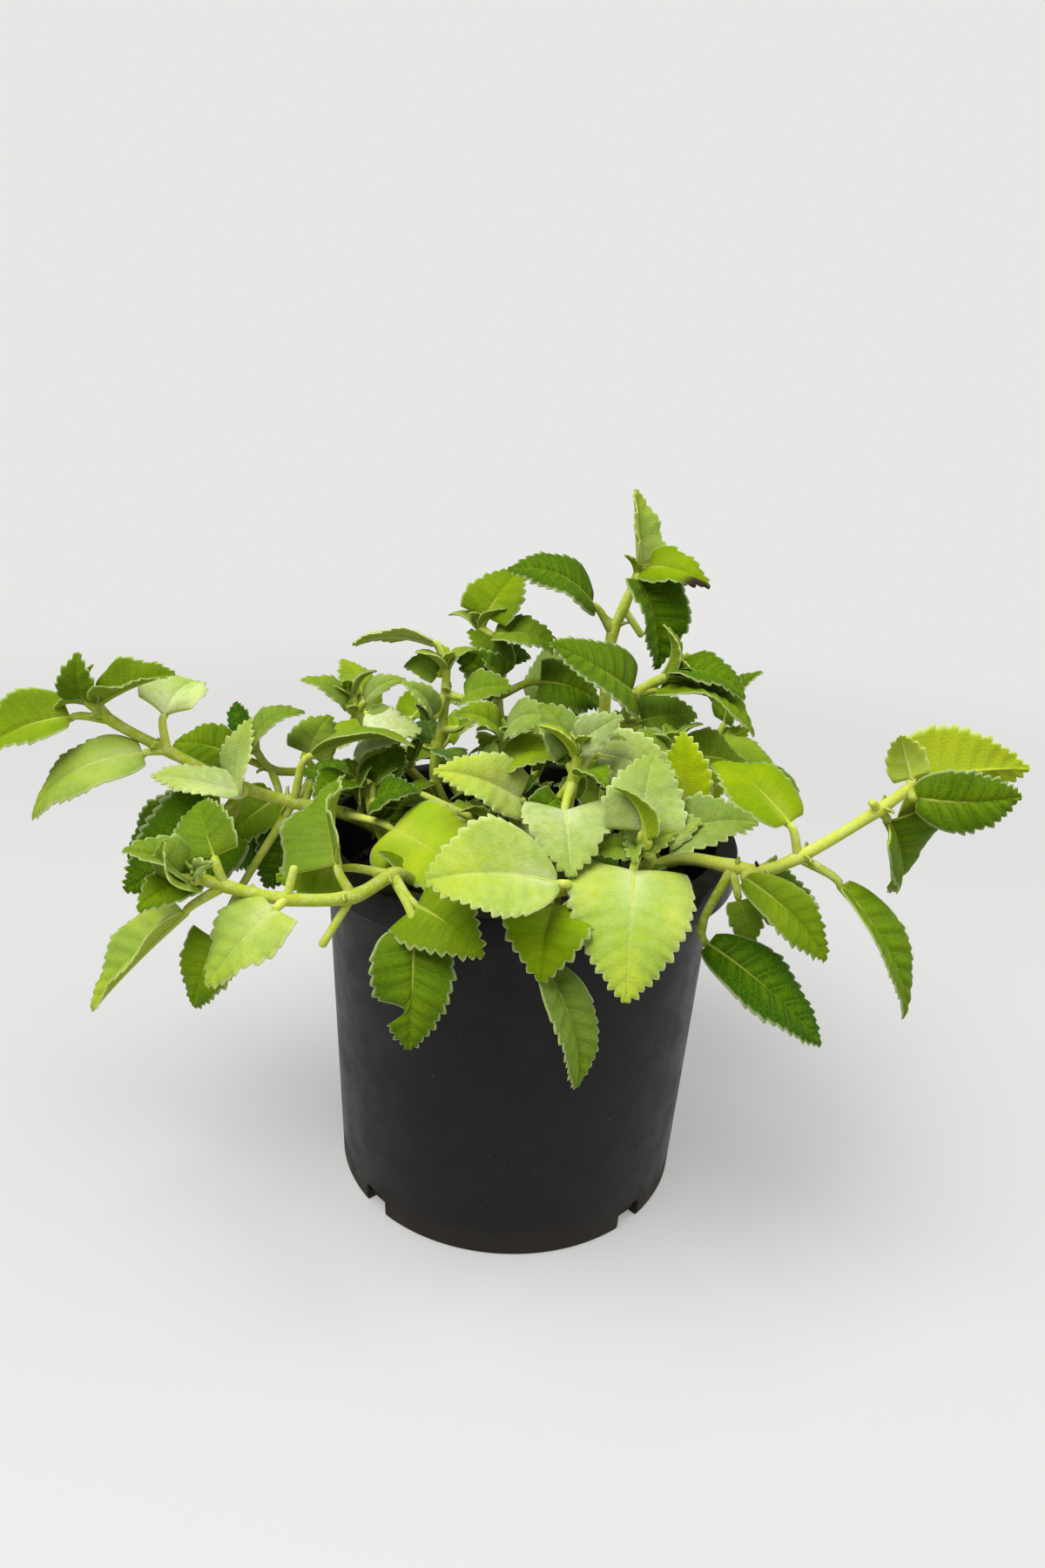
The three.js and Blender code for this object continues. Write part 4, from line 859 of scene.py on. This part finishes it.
# Opposite leaves that grow by rule, as shares of their length, and the tuft at a stem's end. The
# tuft's pairs give their share of its longest leaf and their spread from the stem, in degrees.
PAIR = {
    "out": 0.3, "along": 0.12, "width": 0.78, "forward": 0.35, "droop": 0.25,
    "lean": 0.2, "fold": 14, "arch": 0.12,
}
TUFT = {"out": 0.0007, "back": 0.0006, "width": 0.66, "fold": 28, "arch": 0.12}
CROWN_PAIRS = ((1, 58), (0.72, 34), (0.5, 20), (0.32, 9))
ASIDE = Vector((0.3, 0.9, 0.2))


def pair_rows(at, axis, length, turn):
    """Opposite leaves spread from both sides of the stem, a little forward, and droop."""
    level = axis.cross(Vector((0, 0, 1))).normalized()
    above = level.cross(axis)
    for half in (0, 180):
        angle = math.radians(turn + half)
        out = math.cos(angle) * level + math.sin(angle) * above
        base = at + PAIR["out"] * length * out + PAIR["along"] * length * axis
        way = (out + PAIR["forward"] * axis - Vector((0, 0, PAIR["droop"]))).normalized()
        face = Vector((PAIR["lean"] * out.x, PAIR["lean"] * out.y, 1))
        yield base, base + way * length, PAIR["width"] * length, face, PAIR["fold"], PAIR["arch"]


def tuft_rows(at, axis, longest, turn, pairs):
    """Young leaves round a stem's end, in crossed pairs, shorter and steeper inwards."""
    right = axis.cross(ASIDE).normalized()
    front = axis.cross(right)
    for tier, (share, spread) in enumerate(pairs):
        length = longest * share
        opened = math.radians(spread)
        for half in (0, 180):
            angle = math.radians(turn + 90 * tier + half)
            out = math.cos(angle) * right + math.sin(angle) * front
            way = math.cos(opened) * axis + math.sin(opened) * out
            face = math.sin(opened) * axis - math.cos(opened) * out
            base = at + TUFT["out"] * out - TUFT["back"] * axis
            tip, wide = base + way * length, TUFT["width"] * length
            yield base, tip, wide, face, TUFT["fold"], TUFT["arch"]


# How light and how milky leaves are: how far a listed one strays from its row, and the others.
# How light is partly painted shade, darkest for the heart's leaves; how milky is partly painted
# sheen.
LOOK_STRAYS = 0.06
PAIR_LOOK = ((0.15, 0.6), (0, 0.3))
CROWN_LOOK = ((0.3, 0.6), (0.05, 0.35))
BUD_LIGHT = (0.35, 0.65)
BUD_MILK_AND_SHEEN = 0.25
HEART_LOOK = ((0.05, 0.35), (0, 0.15))

# A bud of small leaves sits in the fork of most older pairs, and on the bushy stems it has grown
# into a short shoot. Small old leaves fill the shaded heart of the plant, between the stems.
BUD_LENGTH = (0.0045, 0.0075)
SHOOT_LENGTH = (0.009, 0.014)
BUD_SPREAD = (25, 50)
BUD_INNER_PAIR = (0.6, 12)
BUD_SHARE = 0.75
HEART_REACH = 0.058
REAR_REACH = 0.088
HEART_HEIGHTS = (0.122, 0.168)
HEART_CLEAR = 0.01
HEART_LEAF = (0.009, 0.016)
REAR_LEAF = (0.013, 0.019)
HEART_SPACING = 0.011


def drawn_look(draws, spans):
    """How light (partly painted shade) and how milky (partly painted sheen) a leaf is, and no mark.
    """
    return (*[draws.uniform(*span) for span in spans], None)


def listed_leaves(stem, path, draws):
    """The stem's own leaves, each as the point it grows from, its shape, and its look."""
    for row in stem.get("leaves", ()):
        if len(row) == 2:
            continue
        index, base, tip, wide, face, fold, arch, *look = row
        tone, milk_and_sheen, mark = look if len(look) == 3 else (*look, None)
        tone = clamp(tone + draws.uniform(-LOOK_STRAYS, LOOK_STRAYS), 0, 1)
        milk_and_sheen = clamp(milk_and_sheen + draws.uniform(-LOOK_STRAYS, LOOK_STRAYS), 0, 1)
        shape = (metres(base), metres(tip), wide / 1000, Vector(face), fold, arch)
        yield path[index], shape, (tone, milk_and_sheen, mark)


def ruled_leaves(stem, path, draws):
    """The pairs that grow by rule, and the crown."""
    for index, length, turn in stem.get("pairs", ()):
        axis = (path[index] - path[index - 1]).normalized()
        for row in pair_rows(path[index], axis, length / 1000, turn):
            yield path[index], row, drawn_look(draws, PAIR_LOOK)
    if "crown" in stem:
        longest, turn = stem["crown"]
        end_axis = (path[-1] - path[-2]).normalized()
        way = Vector(stem.get("crown_way", end_axis)).normalized()
        for row in tuft_rows(path[-1], way, longest / 1000, turn, CROWN_PAIRS):
            yield path[-1], row, drawn_look(draws, CROWN_LOOK)


def buds(stem, path, leafy, draws):
    """Buds, or short shoots, at most points that have leaves."""
    for index in sorted(leafy):
        if index == len(path) - 1 or draws.random() > BUD_SHARE:
            continue
        axis = (path[index + 1] - path[index - 1]).normalized()
        longest = draws.uniform(*(SHOOT_LENGTH if "pairs" in stem else BUD_LENGTH))
        pairs = ((1, draws.uniform(*BUD_SPREAD)), BUD_INNER_PAIR)
        for row in tuft_rows(path[index], axis, longest, draws.uniform(0, 180), pairs):
            yield path[index], row, (draws.uniform(*BUD_LIGHT), BUD_MILK_AND_SHEEN, None)


def heart_leaves(stem, centres, draws):
    """Small old leaves along the part of the stem that is in the bush."""
    walked = draws.uniform(0, HEART_SPACING)
    reach, sizes = (REAR_REACH, REAR_LEAF) if "pairs" in stem else (HEART_REACH, HEART_LEAF)
    low, high = HEART_HEIGHTS
    for before, at, after in zip(centres, centres[1:], centres[2:]):
        walked += (at - before).length
        inside = at.xy.length < reach and low < at.z < high
        if walked < HEART_SPACING or not inside:
            continue
        walked = 0
        axis = (after - before).normalized()
        for row in pair_rows(at, axis, draws.uniform(*sizes), draws.uniform(0, 180)):
            if row[1].xy.length < HEART_REACH or row[1].z > low + HEART_CLEAR:
                yield at, row, drawn_look(draws, HEART_LOOK)


# The stem itself tapers, and swells a little where leaves grow from it.
STEM_FOOT = 0.104
STEM_SIDES = 20
STEM_TAPER = 0.62
STEM_LIGHT = 0.3
RINGS_PER_POINT = 12
NODE_SWELL = 0.16
NODE_SPREAD = 0.0035
WITHERED_RADII = (0.0006, 0.0005, 0.0002)
WITHERED_KNEE = 0.7
WITHERED_BEND = Vector((-0.0006, -0.0004, 0.0006))


def leafy_stem(stem):
    """A whole stem with its petioles and leaves, as one mesh."""
    draws = random.Random(stem["node"])
    bm = bmesh.new()
    layers = {
        "tint": bm.verts.layers.float_color.new("tint"),
        "spot": bm.verts.layers.float_vector.new("spot"),
    }
    path = [metres(point) for point in stem["path"]]
    foot = Vector((path[0].x, path[0].y, STEM_FOOT))
    count = RINGS_PER_POINT * len(path)
    centres = spline_points([foot, *path], count)
    leafy = {row[0] for row in (*stem.get("leaves", ()), *stem.get("pairs", ()))}
    radii = []
    for i, centre in enumerate(centres):
        off = min(((centre - path[k]).length for k in leafy), default=math.inf)
        swell = 1 + NODE_SWELL * math.exp(-(off / NODE_SPREAD) ** 2)
        taper = 1 - (1 - STEM_TAPER) * i / count
        radii.append(stem["thick"] / 1000 / 2 * taper * swell)
    add_rod(bm, layers, centres, radii, STEM_SIDES, (stem.get("yellow", STEM_LIGHT), 0))

    for point in stem.get("withered", ()):
        tip = metres(point)
        start = min(centres, key=lambda centre: (centre - tip).length)
        bent = [start, start.lerp(tip, WITHERED_KNEE) + WITHERED_BEND, tip]
        add_rod(bm, layers, bent, WITHERED_RADII, PETIOLE_SIDES, (0, 0), burnt=1)
    for index, point in (row for row in stem.get("leaves", ()) if len(row) == 2):
        node, end = path[index], metres(point)
        bare = spline_points([node, node.lerp(end, 0.5), end], PETIOLE_RINGS)
        add_rod(bm, layers, bare, [PETIOLE_RADIUS] * len(bare), PETIOLE_SIDES, BARE_LOOK)

    grown = [
        *listed_leaves(stem, path, draws), *ruled_leaves(stem, path, draws),
        *buds(stem, path, leafy, draws), *heart_leaves(stem, centres, draws),
    ]
    for number, (node, row, look) in enumerate(grown):
        add_leaf(bm, layers, node, row, look, random.Random(f"{stem['node']} {number}"))
    return mesh_object(stem["node"].replace("stem", "leafy_stem"), bm, leaf_material)


# Colours of the skin.
DEEP_GREEN = (0.008, 0.06, 0.0, 1)
BRIGHT_GREEN = (0.28, 0.425, 0.002, 1)
WARM_GREEN = (0.39, 0.45, 0.004, 1)
MILKY_SHEEN_GREEN = (0.68, 0.74, 0.46, 1)
VEIN_GREEN = (0.42, 0.50, 0.01, 1)
UNDER_GREEN = (0.38, 0.46, 0.025, 1)
UNDER_VEIN = (0.54, 0.60, 0.10, 1)
WOOLLY_WHITE = (0.76, 0.80, 0.62, 1)
HAIRY_RIM_SHEEN = (0.68, 0.73, 0.40, 1)
SCORCHED = (0.035, 0.022, 0.012, 1)
STEM_GREEN = (0.30, 0.37, 0.015, 1)
STEM_YELLOW = (0.60, 0.66, 0.08, 1)
STEM_DOWN = (0.64, 0.68, 0.38, 1)

# Scales of the skin's patterns, per metre, and how strongly they show.
PATCH_SCALE = 75.0
DOWN_SCALE = 420.0
NET_SCALE = 700.0
FINE_SCALE = 900.0
SWELLING_HIGHLIGHT = 0.18
UPPER_VEINS = 0.22
UNDER_VEINS = 0.35
BASE_PALE = 0.45
NET_PALE = 0.1
RIM_SHEEN = 0.4
STEM_DOWNY = 0.35
TONE_POWER = 1.8

leaf_material, leaf_shader = new_material("fleshy_hairy_leaf", {
    "Specular IOR Level": 0.05, "Sheen Weight": 0.01, "Sheen Roughness": 0.4,
    "Subsurface Weight": 0.2, "Subsurface Radius": (0.6, 1.0, 0.1), "Subsurface Scale": 0.001,
})
n = Nodes(leaf_material)
place = n.object_place()
tint = n.add("ShaderNodeAttribute", attribute_name="tint")
parts = n.add("ShaderNodeSeparateColor", {0: tint.outputs["Color"]})
tone, milk_and_sheen, skin = parts.outputs[0], parts.outputs[1], parts.outputs[2]
burnt = tint.outputs["Alpha"]
is_upper = n.ramp(skin, 0.6, 0.9)
off_stem = n.math("ABSOLUTE", n.math("SUBTRACT", skin, STEM_SKIN))
is_stem = n.ramp(off_stem, 0.05, 0.45, 1.0, 0.0)

# A place on its leaf: across from the midrib, along it, and between two side veins.
spot = n.add("ShaderNodeAttribute", attribute_name="spot").outputs["Vector"]
spot = n.add("ShaderNodeSeparateXYZ", {0: spot})
across = n.math("ABSOLUTE", spot.outputs[0])
along = spot.outputs[1]
past_vein = n.math("FRACT", n.math("ADD", n.times(along, spot.outputs[2]), 0.5))
between = n.math("ABSOLUTE", n.math("SUBTRACT", past_vein, 0.5))
side_vein = n.times(n.ramp(between, 0.02, 0.11, 1.0, 0.0), n.ramp(across, 0.1, 0.95, 0.6, 0.1))
mid_vein = n.times(n.ramp(across, 0.02, 0.16, 1.0, 0.0), n.ramp(along, 0.05, 0.5, 1.0, 0.25))
veins = n.math("MAXIMUM", mid_vein, side_vein)
net = n.add(
    "ShaderNodeTexVoronoi", {"Vector": place, "Scale": NET_SCALE}, feature="DISTANCE_TO_EDGE",
)
net_line = n.ramp(net.outputs["Distance"], 0.0, 0.12, 1.0, 0.0)
patches = n.noise(place, PATCH_SCALE)
down = n.noise(place, DOWN_SCALE, detail=4.0, roughness=0.6)
fine = n.noise(place, FINE_SCALE)

# Lit leaves are warmer in patches, and the swellings between veins are paler, a painted highlight.
# The milky bloom is partly real pale hairs and partly painted sheen, and is thickest low on the
# blade and along the midrib.
# The green runs from deep to bright by the leaf's tone: partly its own age, partly painted shade.
green = n.mix(tone, DEEP_GREEN, BRIGHT_GREEN)
warmth = n.times(n.ramp(patches, 0.35, 0.7), n.math("POWER", tone, TONE_POWER))
green = n.mix(warmth, green, WARM_GREEN)
# Painted highlight: the swellings between veins are lighter in colour, as if they catch the light.
swelling = n.times(n.ramp(between, 0.1, 0.5), n.ramp(across, 0.9, 0.3))
green = n.mix(n.times(swelling, SWELLING_HIGHLIGHT), green, BRIGHT_GREEN)
# The milky colour is partly the pale hairs and partly a painted sheen.
bloom_and_sheen = n.times(n.math("POWER", milk_and_sheen, TONE_POWER), n.ramp(down, 0.3, 0.65, 0.8, 1.45))
bloom_and_sheen = n.times(bloom_and_sheen, n.ramp(along, 0.1, 0.9, 1.35, 0.65))
bloom_and_sheen = n.times(bloom_and_sheen, n.ramp(across, 0.0, 0.16, 2.1, 1.0), clamp=True)
green = n.mix(bloom_and_sheen, green, MILKY_SHEEN_GREEN)

# The upper face pales towards its base. The underside has paler veins. The rim is paler too,
# partly its pale hairs and partly a painted sheen.
near_base = n.times(n.ramp(along, 0.0, 0.5, 1.0, 0.0), n.ramp(across, 0.0, 0.6, 1.0, 0.0))
near_base = n.times(near_base, n.ramp(tone, 0.15, 0.8))
upper = n.mix(n.times(veins, UPPER_VEINS), green, VEIN_GREEN)
base_colour = n.mix(n.ramp(milk_and_sheen, 0.1, 0.4), UNDER_VEIN, WOOLLY_WHITE)
upper = n.mix(n.times(near_base, BASE_PALE), upper, base_colour)
upper = n.mix(n.times(net_line, NET_PALE), upper, VEIN_GREEN)
lower = n.mix(n.ramp(tone, 0.0, 0.7, 0.08, 0.5), green, UNDER_GREEN)
lower = n.mix(n.times(veins, UNDER_VEINS), lower, UNDER_VEIN)
both = n.mix(is_upper, lower, upper)
# Painted sheen: the margin is lightened, partly for its pale hairs, in place of velvet sheen.
both = n.mix(n.ramp(across, 0.92, 1.0, 0.0, RIM_SHEEN), both, HAIRY_RIM_SHEEN)
stem_colour = n.mix(tone, STEM_GREEN, STEM_YELLOW)
stem_colour = n.mix(n.ramp(down, 0.4, 0.7, 0.0, STEM_DOWNY), stem_colour, STEM_DOWN)
whole = n.mix(burnt, n.mix(is_stem, both, stem_colour), SCORCHED)
n.link(whole, leaf_shader.inputs["Base Color"])
n.link(n.ramp(fine, 0.3, 0.7, 0.5, 0.66), leaf_shader.inputs["Roughness"])
relief = n.math("SUBTRACT", n.times(fine, 0.4), n.times(net_line, 0.5))
leaf_grain = n.bump(relief, strength=0.5, distance=0.0003)
n.link(leaf_grain, leaf_shader.inputs["Normal"])

for stem in STEMS:
    piece = leafy_stem(stem)
    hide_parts(stem["node"])
    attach(piece, "root")
